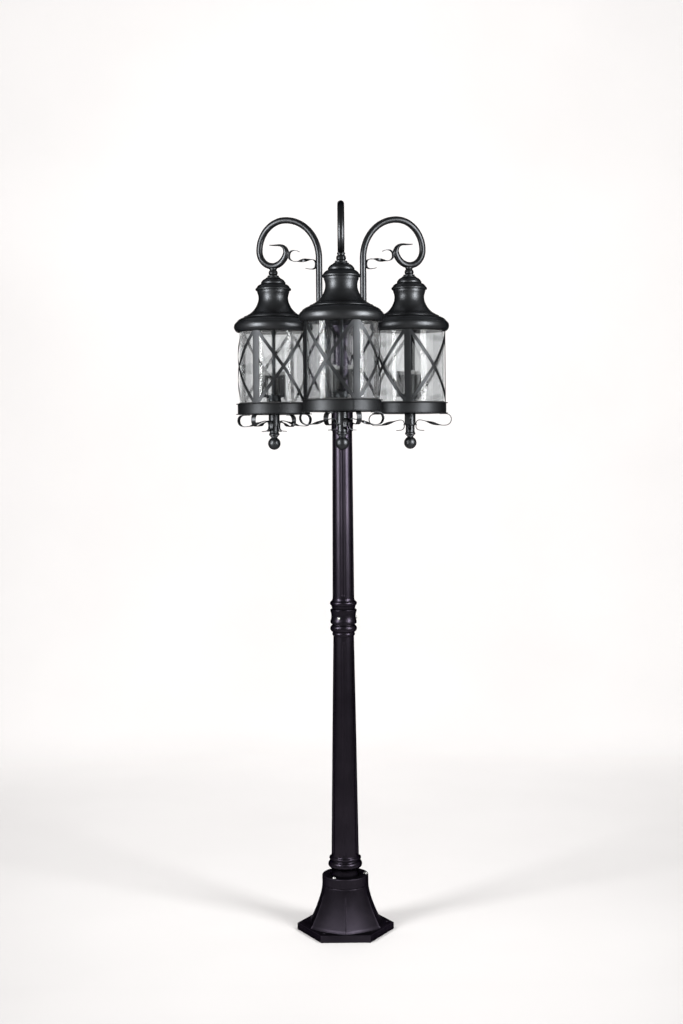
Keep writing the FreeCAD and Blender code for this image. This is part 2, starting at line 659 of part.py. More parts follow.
def stem():
    """Turned tube under the tray that slides on the rod and carries the four scrolls."""
    low = STEM_LOW_Z
    return turned(
        (SLIDE_BORE_R, low), (15.0, low), (17.2, low + 4, 15.8, low + 8.5),
        (14.6, low + 10), (14.6, low + 30), (18.0, low + 33), (18.0, TRAY_LOW_Z),
        (SLIDE_BORE_R, TRAY_LOW_Z),
    )


def foot_scrolls():
    """Four flat straps: under the tray's flange, round a curl, in to the stem and out."""
    z = TRAY_LOW_Z
    edges = path(
        (97, z - STRAP_SHEET), (120, z - STRAP_SHEET), (135, z - 20, 121, z - 37.5),
        (96, z - 37.4, 70, z - 31.6), (50, z - 24.8, 31, z - 20.6),
        (23.6, z - 22.6, 20.1, z - 29), (20.1, z - 41), (22.4, z - 50, 31, z - 53.2),
        (46, z - 55),
    )
    return around(strip(edges, STRAP_WIDTH), [0, 90, 180, 270])


def finial():
    """Ball nut that screws on the rod's lower end and holds up all below the cap."""
    low = STEM_LOW_Z
    neck_r = 10.5
    neck_z = BALL_Z + math.sqrt(BALL_R ** 2 - neck_r ** 2)
    middle = math.radians(-20)
    return turned(
        (0, BALL_Z - BALL_R),
        (BALL_R * math.cos(middle), BALL_Z + BALL_R * math.sin(middle), neck_r, neck_z),
        (9.8, neck_z + 3), (13.4, low - 2.2), (13.4, low - 0.4), (THREAD_BORE_R, low - 0.4),
        (THREAD_BORE_R, ROD_LOW_Z - 2), (0, ROD_LOW_Z - 2),
    )


# ---------------------------------------------------------------- the whole object
def export_post():
    arm_shape = arm()
    scroll = arm_scroll()
    export("base_pedestal", base_pedestal())
    export("clamp_ring", clamp_ring())
    export("clamp_screws", clamp_screws())
    export("lower_pole", lower_pole())
    export("coupling_sleeve", coupling_sleeve())
    export("upper_pole", upper_pole())
    export("set_screws", set_screws())
    export("head_hub", head_hub())
    export("hub_cap", hub_cap())
    export("terminal_blocks", terminal_blocks())
    export("riser_cable", riser_cable())
    for name, azimuth in ARM_AZIMUTH.items():
        export(f"arm_{name}", spun(arm_shape, azimuth))
    export("arm_scrolls", around(scroll, ARM_AZIMUTH.values()))
    export("arm_knuckles", around(knuckle(), ARM_AZIMUTH.values()))
    export("arm_wires", around(arm_wire(), ARM_AZIMUTH.values()))


def export_lanterns():
    turned_with_lantern = {
        "crown": crown(), "cap": cap(), "glass": glass(), "gasket": gasket(), "cage": cage(),
        "tray": tray(), "rod": rod(), "lamp_lead": lamp_lead(), "stem": stem(),
        "foot_scrolls": foot_scrolls(), "finial": finial(),
    }
    turned_with_candles = {
        "cluster": cluster(), "candle_sleeves": candle_sleeves(), "lamp_holders": lamp_holders(),
    }
    for name, azimuth in ARM_AZIMUTH.items():
        centre = polar(LANTERN_REACH, azimuth)
        for group, turn in (
            (turned_with_lantern, LANTERN_TURN[name]),
            (turned_with_candles, CANDLE_TURN[name]),
        ):
            for piece, shapes in group.items():
                listed = shapes if isinstance(shapes, list) else [shapes]
                placed = [moved(spun(s, azimuth + turn), centre) for s in listed]
                export(f"{piece}_{name}", placed)


os.makedirs("parts", exist_ok=True)
export_post()
export_lanterns()
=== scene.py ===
import math
import bpy
import bmesh
from mathutils import Matrix, Vector, noise


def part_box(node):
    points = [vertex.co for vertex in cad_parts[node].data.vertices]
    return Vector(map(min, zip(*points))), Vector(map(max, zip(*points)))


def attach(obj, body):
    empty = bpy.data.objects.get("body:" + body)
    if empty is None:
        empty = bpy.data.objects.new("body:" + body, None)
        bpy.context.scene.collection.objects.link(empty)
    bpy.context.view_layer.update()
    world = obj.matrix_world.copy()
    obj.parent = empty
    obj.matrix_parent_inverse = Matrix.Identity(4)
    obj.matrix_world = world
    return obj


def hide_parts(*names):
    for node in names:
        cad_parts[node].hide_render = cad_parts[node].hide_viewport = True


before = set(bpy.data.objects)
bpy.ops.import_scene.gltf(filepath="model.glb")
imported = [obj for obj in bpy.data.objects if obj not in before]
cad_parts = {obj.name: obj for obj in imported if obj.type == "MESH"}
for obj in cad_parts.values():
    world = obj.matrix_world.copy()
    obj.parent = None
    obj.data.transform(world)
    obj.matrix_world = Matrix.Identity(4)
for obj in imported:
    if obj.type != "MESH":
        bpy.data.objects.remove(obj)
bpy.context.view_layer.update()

# Outlines and sizes below are in millimetres. MM turns them into the frame's metres.
MM = 0.001
# Directions of the three arms, and how far each cage and candle cluster is turned from its arm.
ARMS = {"front": -90.0, "right": 30.0, "left": 150.0}
LANTERN_TURN = {"front": 22.0, "right": -36.0, "left": 3.0}
CANDLE_TURN = {"front": 68.0, "right": 6.0, "left": 57.0}
# Edges sharper than this stay sharp in the shading.
SHARP = math.radians(38)
# Painted edge highlights are this many times lighter than the paint, and this share of the glass bends and
# reflects light.
EDGE_HIGHLIGHT_GAIN = 2.2
GLASSY_SHARE = 0.25
# The floor glows least along a line this many metres in front of the lamp.
DARK_LINE = 0.9


# ---------------------------------------------------------------- reading the frame
def span(node):
    """Lowest and highest corner of a CAD node, in millimetres."""
    low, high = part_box(node)
    return low / MM, high / MM


def heights(node):
    """Bottom and top of a CAD node, in millimetres."""
    low, high = span(node)
    return low.z, high.z


def middle(node):
    low, high = span(node)
    return (low + high) / 2


# Sizes and heights read from the CAD pieces.
PLINTH_R = span("base_pedestal")[1].x
BELL_TOP_R = span("clamp_ring")[1].x
REACH = -middle("rod_front").y
BELL_TOP = heights("base_pedestal")[1]
RING_TOP = heights("clamp_ring")[1]
SLEEVE_LOW, SLEEVE_TOP = heights("coupling_sleeve")
JOINT_Z, POLE_TOP = heights("upper_pole")
HUB_LOW, HUB_TOP = heights("head_hub")
KNUCKLE_LOW = heights("arm_knuckles")[0]
CROWN_TOP = heights("crown_front")[1]
RIM_LOW = heights("cap_front")[0]
GLASS_LOW, GLASS_TOP = heights("glass_front")
CAGE_TOP = heights("cage_front")[1]
TRAY_LOW, TRAY_TOP = heights("tray_front")
STEM_LOW = heights("stem_front")[0]
CLUSTER_LOW, CLUSTER_TOP = heights("cluster_front")
SLEEVE_END = heights("candle_sleeves_front")[1]
HOLDER_END = heights("lamp_holders_front")[1]

# Sizes set here: base, hub and bar, then the lantern, then the arm's bends.
PLINTH_H = 22.0
HUB_R = 46.0
TUBE_R = 10.5
GLASS_R = 113.2
CAGE_R = 117.5
WEB_R = 118.4
CANDLE_RING = 33.0
ELBOW_Z = 1950.0
LEG_REACH = 82.0
ELBOW_R = 30.0
SPRING_Z = 2149.5
BIG_ARC = 135.0
MID_ARC = 94.0
LOOP_R = 53.0
LOOP_Z = SPRING_Z + BIG_ARC - MID_ARC
LOOP_LOW = LOOP_Z - LOOP_R
# A hexagon's corners lie farther out than the middles of its sides by this share.
CORNER_GAIN = 1 / math.cos(math.radians(30)) - 1


# ---------------------------------------------------------------- outlines
def arc_points(a, m, b, step=4.0):
    """Points after a, along the arc from a through m to b, one for each step degrees."""
    ax, ay = a
    mx, my = m
    bx, by = b
    d = 2 * (ax * (my - by) + mx * (by - ay) + bx * (ay - my))
    ux = ((ax ** 2 + ay ** 2) * (my - by) + (mx ** 2 + my ** 2) * (by - ay)
          + (bx ** 2 + by ** 2) * (ay - my)) / d
    uy = ((ax ** 2 + ay ** 2) * (bx - mx) + (mx ** 2 + my ** 2) * (ax - bx)
          + (bx ** 2 + by ** 2) * (mx - ax)) / d
    radius = math.hypot(ax - ux, ay - uy)
    start = math.atan2(ay - uy, ax - ux)
    mid = (math.atan2(my - uy, mx - ux) - start) % (2 * math.pi)
    end = (math.atan2(by - uy, bx - ux) - start) % (2 * math.pi)
    if mid > end:
        end -= 2 * math.pi
    count = max(2, round(abs(math.degrees(end)) / step))
    return [(ux + radius * math.cos(start + end * k / count),
             uy + radius * math.sin(start + end * k / count)) for k in range(1, count + 1)]


def outline(start, *steps):
    """Points of an outline. A step is (r, z) for a line or (rm, zm, r, z) for an arc."""
    points = [tuple(start)]
    for step in steps:
        if len(step) == 4:
            points += arc_points(points[-1], step[:2], step[2:])
        else:
            points.append(tuple(step))
    return points


def softened(points, radius=0.6, least=25.0, parts=3):
    """The closed outline with each corner sharper than least degrees rounded off."""
    out = []
    count = len(points)
    for k, point in enumerate(points):
        here = Vector(point)
        back = Vector(points[k - 1]) - here
        ahead = Vector(points[(k + 1) % count]) - here
        if back.length < 1e-6 or ahead.length < 1e-6:
            continue
        turn = 180 - math.degrees(back.angle(ahead))
        if turn < least or here.x < 1e-6:
            out.append(point)
            continue
        cut = min(radius * math.tan(math.radians(turn / 2)), back.length * 0.45, ahead.length * 0.45)
        a = here + back.normalized() * cut
        b = here + ahead.normalized() * cut
        for j in range(parts + 1):
            t = j / parts
            p = a * (1 - t) ** 2 + here * (2 * t * (1 - t)) + b * t ** 2
            out.append((p.x, p.y))
    return out


# ---------------------------------------------------------------- meshes
def added(obj):
    bpy.context.scene.collection.objects.link(obj)
    return obj


def mesh_object(name, vertices, faces, material):
    """Object from vertices in millimetres, smooth but for its real edges."""
    mesh = bpy.data.meshes.new(name)
    mesh.from_pydata([Vector(v) * MM for v in vertices], [], faces)
    obj = added(bpy.data.objects.new(name, mesh))
    tidy(obj)
    if material:
        mesh.materials.append(material)
    return obj


def tidy(obj):
    """Merge doubles, turn faces outwards and set the shading."""
    bm = bmesh.new()
    bm.from_mesh(obj.data)
    bmesh.ops.remove_doubles(bm, verts=bm.verts, dist=1e-6)
    bmesh.ops.dissolve_degenerate(bm, dist=1e-7, edges=bm.edges)
    bmesh.ops.recalc_face_normals(bm, faces=bm.faces)
    bm.to_mesh(obj.data)
    bm.free()
    shade(obj)


def shade(obj):
    """Smooth shading with the real edges left sharp."""
    obj.data.shade_smooth()
    obj.data.set_sharp_from_angle(angle=SHARP)


def loft_rings(rings, closed=False):
    """Vertices and faces through rings of equal length. closed joins the last to the first."""
    size = len(rings[0])
    vertices = [v for ring in rings for v in ring]
    faces = []
    last = len(rings) if closed else len(rings) - 1
    for i in range(last):
        a = i * size
        b = ((i + 1) % len(rings)) * size
        for j in range(size):
            k = (j + 1) % size
            faces.append((a + j, a + k, b + k, b + j))
    return vertices, faces


def lathe(name, points, material, segments=96, shape=None, centre=(0.0, 0.0)):
    """Turn a closed outline about Z. shape(radius, angle, z) may change each radius."""
    rings = []
    for r, z in points:
        ring = []
        for k in range(segments):
            angle = 2 * math.pi * k / segments
            radius = shape(r, angle, z) if shape else r
            ring.append((centre[0] + radius * math.cos(angle), centre[1] + radius * math.sin(angle), z))
        rings.append(ring)
    vertices, faces = loft_rings(rings, closed=True)
    return mesh_object(name, vertices, faces, material)


def round_section(count=32):
    return [(math.cos(2 * math.pi * k / count), math.sin(2 * math.pi * k / count))
            for k in range(count)]


def strap_section(parts=3):
    """Unit cross-section of a flat strap with eased edges: x across its width, y its sheet."""
    points = []
    ease_x = 0.08
    ease_y = 0.6
    hold = 0.86
    for cx, cy, start in ((1, 1, 0), (-1, 1, 90), (-1, -1, 180), (1, -1, 270)):
        corner = []
        for j in range(parts + 1):
            angle = math.radians(start + 90 * j / parts)
            x = cx * (1 - ease_x) + ease_x * math.cos(angle)
            y = cy * (1 - ease_y) + ease_y * math.sin(angle)
            corner.append((x, y))
        if cx == cy:
            corner.append((cx * hold, cy))
        else:
            corner.insert(0, (cx * hold, cy))
        points += corner
    return points


def capped(name, rings, material):
    """Solid through rings of equal length, closed by its first and last ring."""
    vertices, faces = loft_rings(rings)
    size = len(rings[0])
    faces.append(tuple(range(size)))
    faces.append(tuple(len(vertices) - size + k for k in range(size)))
    return mesh_object(name, vertices, faces, material)


def sweep(name, stations, section, material):
    """Solid along stations of (point, across, thick): the section's x and y axes at full size."""
    rings = []
    for point, across, thick in stations:
        rings.append([point + across * x + thick * y for x, y in section])
    return capped(name, rings, material)


def smooth_curve(points, step=2.0):
    """Evenly spaced points along a smooth line through the given 3-D points (Catmull-Rom)."""
    pts = [Vector(p) for p in points]
    pts = [pts[0] * 2 - pts[1]] + pts + [pts[-1] * 2 - pts[-2]]
    fine = []
    for i in range(1, len(pts) - 2):
        p0, p1, p2, p3 = pts[i - 1:i + 3]
        for k in range(24):
            t = k / 24
            fine.append(0.5 * ((2 * p1) + (p2 - p0) * t + (2 * p0 - 5 * p1 + 4 * p2 - p3) * t ** 2
                               + (3 * p1 - p0 - 3 * p2 + p3) * t ** 3))
    fine.append(pts[-2])
    out = [fine[0]]
    carried = 0.0
    for a, b in zip(fine, fine[1:]):
        length = (b - a).length
        while carried + length >= step:
            a = a + (b - a).normalized() * (step - carried)
            out.append(a)
            length = (b - a).length
            carried = 0.0
        carried += length
    if (out[-1] - fine[-1]).length < step * 0.4:
        out.pop()
    out.append(fine[-1])
    return out


def ease(value, low, high):
    """0 below low, 1 above high, smooth between."""
    t = min(1.0, max(0.0, (value - low) / (high - low)))
    return t * t * (3 - 2 * t)


def joined(name, parts):
    """One object from several, for pieces that are one part."""
    bpy.ops.object.select_all(action="DESELECT")
    for part in parts:
        part.select_set(True)
    bpy.context.view_layer.objects.active = parts[0]
    if len(parts) > 1:
        bpy.ops.object.join()
    whole = bpy.context.view_layer.objects.active
    whole.name = name
    whole.data.name = name
    return whole


def copied(obj, name, angle=0.0, shift=(0.0, 0.0, 0.0)):
    """A copy turned about Z by angle degrees and then shifted by millimetres."""
    other = obj.copy()
    other.data = obj.data.copy()
    other.name = name
    other.data.name = name
    added(other)
    place(other, angle, shift)
    return other


def place(obj, angle=0.0, shift=(0.0, 0.0, 0.0)):
    turn = Matrix.Rotation(math.radians(angle), 4, "Z")
    obj.data.transform(Matrix.Translation(Vector(shift) * MM) @ turn)


def stand_in(obj, body, node):
    """Show obj on a moving body in place of a CAD node, which is hidden."""
    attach(obj, body)
    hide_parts(node)


def laid_out(obj, reach, z):
    """Tip a piece turned about Z so that its axis points outwards along X, then move it there."""
    tip = Matrix.Rotation(math.radians(90), 4, "Y")
    obj.data.transform(Matrix.Translation(Vector((reach, 0, z)) * MM) @ tip)


def polar(radius, azimuth, z=0.0):
    angle = math.radians(azimuth)
    return Vector((radius * math.cos(angle), radius * math.sin(angle), z))


def cut(obj, cutters):
    """Take solid cutters away from obj and delete them."""
    for cutter in cutters:
        tool = obj.modifiers.new("cut", "BOOLEAN")
        tool.operation = "DIFFERENCE"
        tool.solver = "EXACT"
        tool.object = cutter
        bpy.context.view_layer.objects.active = obj
        bpy.ops.object.modifier_apply(modifier=tool.name)
        bpy.data.objects.remove(cutter)
    shade(obj)


# ---------------------------------------------------------------- materials
def new_material(name):
    material = bpy.data.materials.new(name)
    material.use_nodes = True
    nodes = material.node_tree.nodes
    return material, nodes, material.node_tree.links, nodes["Principled BSDF"]


def add_noise(nodes, links, scale, detail=3.0, rough=0.5):
    """Noise texture on the object's own coordinates."""
    where = nodes.new("ShaderNodeTexCoord")
    texture = nodes.new("ShaderNodeTexNoise")
    texture.inputs["Scale"].default_value = scale
    texture.inputs["Detail"].default_value = detail
    texture.inputs["Roughness"].default_value = rough
    links.new(where.outputs["Object"], texture.inputs["Vector"])
    return texture


def add_ramp(nodes, links, source, low, high, first, last):
    """Colour ramp from first to last between two positions."""
    ramp = nodes.new("ShaderNodeValToRGB")
    ramp.color_ramp.elements[0].position = low
    ramp.color_ramp.elements[1].position = high
    ramp.color_ramp.elements[0].color = (*first, 1)
    ramp.color_ramp.elements[1].color = (*last, 1)
    links.new(source, ramp.inputs["Fac"])
    return ramp


def add_range(nodes, links, source, low, high):
    scale = nodes.new("ShaderNodeMapRange")
    scale.inputs["To Min"].default_value = low
    scale.inputs["To Max"].default_value = high
    links.new(source, scale.inputs["Value"])
    return scale.outputs["Result"]


def add_math(nodes, links, operation, source):
    step = nodes.new("ShaderNodeMath")
    step.operation = operation
    links.new(source, step.inputs[0])
    return step


def add_bump(nodes, links, texture, strength, distance, shader):
    """Surface relief from a noise texture. distance is in metres."""
    bump = nodes.new("ShaderNodeBump")
    bump.inputs["Strength"].default_value = strength
    bump.inputs["Distance"].default_value = distance
    links.new(texture.outputs["Fac"], bump.inputs["Height"])
    links.new(bump.outputs["Normal"], shader.inputs["Normal"])


def powder_coat(name, dark, light, grain, strength, rough_low, rough_high, tint):
    """Baked satin paint: fine grain, slow colour drift, and convex edges painted a little paler as a
    painted highlight.

    It is set up as a dark metal flake with a tinted rim, which sheens evenly and has no pale rims.
    """
    material, nodes, links, shader = new_material(name)
    drift = add_noise(nodes, links, 9.0, 4.0)
    base = add_ramp(nodes, links, drift.outputs["Fac"], 0.35, 0.7, dark, light)
    highlight_grain = add_noise(nodes, links, 260.0, 5.0, 0.65)
    # Painted highlight: convex edges, found from pointiness and broken up by fine noise, are blended
    # towards a paler colour.
    geometry = nodes.new("ShaderNodeNewGeometry")
    edge = nodes.new("ShaderNodeMapRange")
    edge.inputs["From Min"].default_value = 0.53
    edge.inputs["From Max"].default_value = 0.62
    links.new(geometry.outputs["Pointiness"], edge.inputs["Value"])
    edge_highlight = add_math(nodes, links, "MULTIPLY", edge.outputs["Result"])
    links.new(highlight_grain.outputs["Fac"], edge_highlight.inputs[1])
    blend = nodes.new("ShaderNodeMix")
    blend.data_type = "RGBA"
    links.new(edge_highlight.outputs["Value"], blend.inputs["Factor"])
    links.new(base.outputs["Color"], blend.inputs["A"])
    blend.inputs["B"].default_value = (*[EDGE_HIGHLIGHT_GAIN * channel for channel in light], 1)
    links.new(blend.outputs["Result"], shader.inputs["Base Color"])
    patch = add_noise(nodes, links, 38.0, 3.0)
    links.new(add_range(nodes, links, patch.outputs["Fac"], rough_low, rough_high),
              shader.inputs["Roughness"])
    fine = add_noise(nodes, links, grain, 2.0)
    add_bump(nodes, links, fine, strength, 0.0003, shader)
    shader.inputs["Metallic"].default_value = 1.0
    shader.inputs["Specular Tint"].default_value = (*tint, 1)
    return material


def bright_zinc(name):
    """Zinc plate with fine turning lines and a few dull spots."""
    material, nodes, links, shader = new_material(name)
    shader.inputs["Metallic"].default_value = 1.0
    spots = add_noise(nodes, links, 420.0, 4.0)
    tint = add_ramp(nodes, links, spots.outputs["Fac"], 0.3, 0.7,
                    (0.46, 0.46, 0.45), (0.78, 0.78, 0.76))
    links.new(tint.outputs["Color"], shader.inputs["Base Color"])
    links.new(add_range(nodes, links, spots.outputs["Fac"], 0.18, 0.42), shader.inputs["Roughness"])
    lines = add_noise(nodes, links, 1800.0, 2.0)
    add_bump(nodes, links, lines, 0.25, 0.0001, shader)
    return material


def clear_glass(name):
    """Drawn glass with faint upright waves, mixed with plain see-through to keep reflections low."""
    material, nodes, links, shader = new_material(name)
    shader.inputs["Transmission Weight"].default_value = 1.0
    shader.inputs["IOR"].default_value = 1.46
    shader.inputs["Specular IOR Level"].default_value = 0.3
    shader.inputs["Base Color"].default_value = (0.80, 0.815, 0.82, 1)
    where = nodes.new("ShaderNodeTexCoord")
    squeeze = nodes.new("ShaderNodeMapping")
    squeeze.inputs["Scale"].default_value = (1.0, 1.0, 0.06)
    links.new(where.outputs["Object"], squeeze.inputs["Vector"])
    waves = nodes.new("ShaderNodeTexNoise")
    waves.inputs["Scale"].default_value = 46.0
    waves.inputs["Detail"].default_value = 2.0
    links.new(squeeze.outputs["Vector"], waves.inputs["Vector"])
    add_bump(nodes, links, waves, 0.06, 0.0012, shader)
    links.new(add_range(nodes, links, waves.outputs["Fac"], 0.0, 0.03), shader.inputs["Roughness"])
    plain = nodes.new("ShaderNodeBsdfTransparent")
    plain.inputs["Color"].default_value = (0.90, 0.91, 0.915, 1)
    share = nodes.new("ShaderNodeMixShader")
    share.inputs["Fac"].default_value = GLASSY_SHARE
    links.new(plain.outputs["BSDF"], share.inputs[1])
    links.new(shader.outputs["BSDF"], share.inputs[2])
    links.new(share.outputs["Shader"], nodes["Material Output"].inputs["Surface"])
    return material


def plain_grained(name, dark, light, grain, rough_low, rough_high, metallic=0.0):
    """Moulded plastic, rubber or brass: two close tones, varied roughness, fine surface."""
    material, nodes, links, shader = new_material(name)
    tone = add_noise(nodes, links, 60.0, 4.0)
    ramp = add_ramp(nodes, links, tone.outputs["Fac"], 0.35, 0.65, dark, light)
    links.new(ramp.outputs["Color"], shader.inputs["Base Color"])
    links.new(add_range(nodes, links, tone.outputs["Fac"], rough_low, rough_high),
              shader.inputs["Roughness"])
    shader.inputs["Metallic"].default_value = metallic
    fine = add_noise(nodes, links, grain, 2.0)
    add_bump(nodes, links, fine, 0.2, 0.0002, shader)
    return material


WARM_RIM = (0.16, 0.14, 0.18)
COOL_RIM = (0.16, 0.16, 0.17)
PALE_RIM = (0.2, 0.2, 0.21)
POST_PAINT = powder_coat("post_paint", (0.021, 0.018, 0.0245), (0.030, 0.0255, 0.034),
                         900.0, 0.45, 0.26, 0.38, WARM_RIM)
CAST_PAINT = powder_coat("cast_paint", (0.021, 0.018, 0.024), (0.031, 0.0265, 0.035),
                         420.0, 0.7, 0.36, 0.5, WARM_RIM)
LANTERN_PAINT = powder_coat("lantern_paint", (0.039, 0.0408, 0.0435), (0.053, 0.055, 0.058),
                            1100.0, 0.35, 0.35, 0.45, COOL_RIM)
SHEET_PAINT = powder_coat("sheet_paint", (0.025, 0.026, 0.0275), (0.033, 0.0345, 0.0365),
                          1100.0, 0.3, 0.44, 0.55, PALE_RIM)
STEEL_PAINT = powder_coat("steel_paint", (0.034, 0.0352, 0.0375), (0.046, 0.0478, 0.0505),
                          1000.0, 0.35, 0.3, 0.4, COOL_RIM)
ZINC = bright_zinc("zinc")
GLASS = clear_glass("glass")
RUBBER = plain_grained("rubber", (0.012, 0.012, 0.012), (0.02, 0.02, 0.02), 900.0, 0.7, 0.85)
SLEEVE = plain_grained("sleeve", (0.010, 0.010, 0.010), (0.016, 0.016, 0.016), 700.0, 0.3, 0.45)
PORCELAIN = plain_grained("holder", (0.2, 0.197, 0.19), (0.27, 0.267, 0.26), 500.0, 0.25, 0.4)
BRASS = plain_grained("brass", (0.55, 0.40, 0.16), (0.68, 0.50, 0.22), 900.0, 0.25, 0.4, 1.0)


# ---------------------------------------------------------------- base
def bell_middle(z):
    share = (BELL_TOP - z) / (BELL_TOP - PLINTH_H)
    return BELL_TOP_R + 42.2 * share ** 1.5


def off_middle(angle, first_corner):
    """Degrees from the middle of the hexagon side that the angle falls on."""
    return (math.degrees(angle) - first_corner) % 60 - 30


def facet_rise(angle, first_corner):
    """0 at the middle of a straight hexagon side, 1 at its corners."""
    off = off_middle(angle, first_corner)
    return (1 / math.cos(math.radians(off)) - 1) / CORNER_GAIN


def make_pedestal():
    """Hexagonal plinth, then a bell whose six bowed facets blend to round."""
    segments = 360
    apothem = PLINTH_R * math.cos(math.radians(30))
    slope = 3.0
    rows = []

    def hexagon(angle, inset):
        return (apothem - inset) * (1 + facet_rise(angle, 0) * CORNER_GAIN)

    def bell(angle, z, inset=0.0, ridge=1.0):
        rise = facet_rise(angle, 30)
        share = (BELL_TOP - z) / (BELL_TOP - PLINTH_H)
        side = 30 - abs(off_middle(angle, 30))
        radius = bell_middle(z) - inset
        bead = ridge * 1.1 * math.exp(-(radius * math.radians(side) / 1.5) ** 2) * ease(share, 0.1, 0.3)
        return radius + 9.0 * share * rise + bead

    angles = [2 * math.pi * k / segments for k in range(segments)]

    def ring(radii, z):
        rows.append([(r * math.cos(a), r * math.sin(a), z) for r, a in zip(radii, angles)])

    for inset, z in ((0.8, 0.0), (0.2, 0.3), (0.0, 1.0), (0.0, PLINTH_H - slope)):
        ring([hexagon(a, inset) for a in angles], z)
    for k in range(1, 7):
        t = math.radians(15 * k)
        ring([hexagon(a, slope * (1 - math.cos(t))) for a in angles],
             PLINTH_H - slope * (1 - math.sin(t)))
    for share in (0.3, 0.6, 0.8):
        ring([hexagon(a, slope + 1) * (1 - share) + (bell(a, PLINTH_H) + 3.5) * share for a in angles],
             PLINTH_H)
    for k in range(5):
        t = math.radians(22.5 * k)
        ring([bell(a, PLINTH_H) + 3.0 * (1 - math.sin(t)) for a in angles],
             PLINTH_H + 3.0 * (1 - math.cos(t)))
    steps = 44
    for k in range(1, steps + 1):
        z = PLINTH_H + 3.0 + (BELL_TOP - 2.4 - PLINTH_H - 3.0) * k / steps
        ring([bell(a, z) for a in angles], z)
    lip = BELL_TOP_R
    for r, z in ((lip + 0.3, BELL_TOP - 1.9), (lip - 0.2, BELL_TOP - 0.9), (lip - 1.4, BELL_TOP - 0.3),
                 (lip - 2.4, BELL_TOP - 0.3), (60, BELL_TOP - 0.1), (34, BELL_TOP - 0.1),
                 (34, BELL_TOP - 15)):
        ring([r] * segments, z)
    for k in range(10):
        z = BELL_TOP - 15 - (BELL_TOP - 15 - 16) * k / 9
        ring([bell(a, z, 7.0, 0.0) for a in angles], z)
    ring([bell(a, 16, 7.0, 0.0) for a in angles], 0.0)
    vertices, faces = loft_rings(rows, closed=True)
    body = mesh_object("pedestal", vertices, faces, CAST_PAINT)
    holes = []
    for k in range(3):
        at = polar(134.0, 120 * k)
        points = [(0, -2), (5.5, -2), (5.5, PLINTH_H - 0.9), (6.6, PLINTH_H + 0.2), (6.6, PLINTH_H + 3),
                  (0, PLINTH_H + 3)]
        holes.append(lathe(f"hole_{k}", points, None, 32, None, (at.x, at.y)))
    cut(body, holes)
    stand_in(body, "post", "base_pedestal")


def make_clamp_ring():
    top = RING_TOP
    r = BELL_TOP_R
    points = outline(
        (55.3, BELL_TOP), (r - 1.2, BELL_TOP), (r - 1.2, BELL_TOP + 1.2), (r, BELL_TOP + 1.8),
        (r, top - 4),
        (r - 1.2, top - 1.2, r - 4, top), (50, top), (48, top - 1.2), (46, top - 1.2),
        (46, BELL_TOP + 9), (55.3, BELL_TOP + 9))
    ring = lathe("clamp_collar", softened(points, 0.5), CAST_PAINT, 144)
    stand_in(ring, "post", "clamp_ring")


def screw_outline(low, seat, head_r, head_h):
    """Button-head screw with a round drive recess, standing on seat."""
    return outline(
        (0, low), (3.0, low), (3.0, seat), (head_r, seat), (head_r, seat + 0.9),
        (head_r * 0.78, seat + head_h * 0.82, head_r * 0.42, seat + head_h),
        (head_r * 0.4, seat + head_h - 1.6),
        (0, seat + head_h - 1.9))


def make_clamp_screws():
    parts = []
    for k, azimuth in enumerate((-123.0, -3.0, 117.0)):
        at = polar(65.0, azimuth)
        head = softened(screw_outline(BELL_TOP - 12, RING_TOP, 5.0, 4.0), 0.3)
        flat = [(3.0, RING_TOP), (6.4, RING_TOP), (6.4, RING_TOP + 0.7), (3.0, RING_TOP + 0.7)]
        washer = softened(flat, 0.2)
        parts.append(lathe(f"screw_{k}", head, ZINC, 40, None, (at.x, at.y)))
        parts.append(lathe(f"washer_{k}", washer, ZINC, 40, None, (at.x, at.y)))
    screws = joined("clamp_screw_set", parts)
    stand_in(screws, "post", "clamp_screws")


# ---------------------------------------------------------------- poles
def flute_shape(low, high, depth=2.3, half=6.3):
    """Radius changer that sinks six round-ended flutes between two heights."""
    def shape(radius, angle, z):
        if radius < 29.5:
            return radius
        off = (math.degrees(angle) + 90 + 30) % 60 - 30
        side = radius * math.radians(off)
        past = max(low + half - z, z - high + half, 0.0)
        share = (side ** 2 + past ** 2) / half ** 2
        if share >= 1.35:
            return radius
        hollow = 1 - share
        soft = hollow if hollow > 0.12 else max(0.0, (hollow + 0.35) / 0.47) ** 2 * 0.12
        return radius - depth * soft
    return shape


def stacked(points, gap_z):
    """Outline with extra points on its long upright runs, closer near the flutes' ends."""
    out = []
    for a, b in zip(points, points[1:] + points[:1]):
        out.append(a)
        if abs(b[1] - a[1]) > 30 and min(a[0], b[0]) > 30:
            z = a[1]
            rising = 1 if b[1] > a[1] else -1
            while True:
                near = min(abs(z - end) for end in gap_z)
                z += rising * (0.9 if near < 15 else 12.0)
                if (b[1] - z) * rising < 0.6:
                    break
                t = (z - a[1]) / (b[1] - a[1])
                out.append((a[0] + (b[0] - a[0]) * t, z))
    return out


def make_lower_pole():
    low = BELL_TOP
    points = outline(
        (34, low), (55, low), (55, low + 9), (44.8, low + 9), (44.8, 180), (43.6, 190, 46.5, 199.5),
        (54.2, 210.5, 46.5, 221.5), (45.6, 223.0), (46.0, 224.8), (50.6, 230, 46.0, 235.5),
        (44.6, 236.8, 43.7, 239.5), (37.8, 652), (33.1, 937), (33.4, 939), (36.2, 943.5, 35.0, 948.5),
        (35.6, 951.5), (42.8, 963, 36.6, 973.5), (36.6, SLEEVE_LOW - 1), (36.8, JOINT_Z),
        (28, JOINT_Z), (28, 937), (34, 200))
    points = stacked(softened(points, 0.5), (243, 921))
    pole = lathe("lower_column", points, POST_PAINT, 288, flute_shape(243, 921))
    stand_in(pole, "post", "lower_pole")


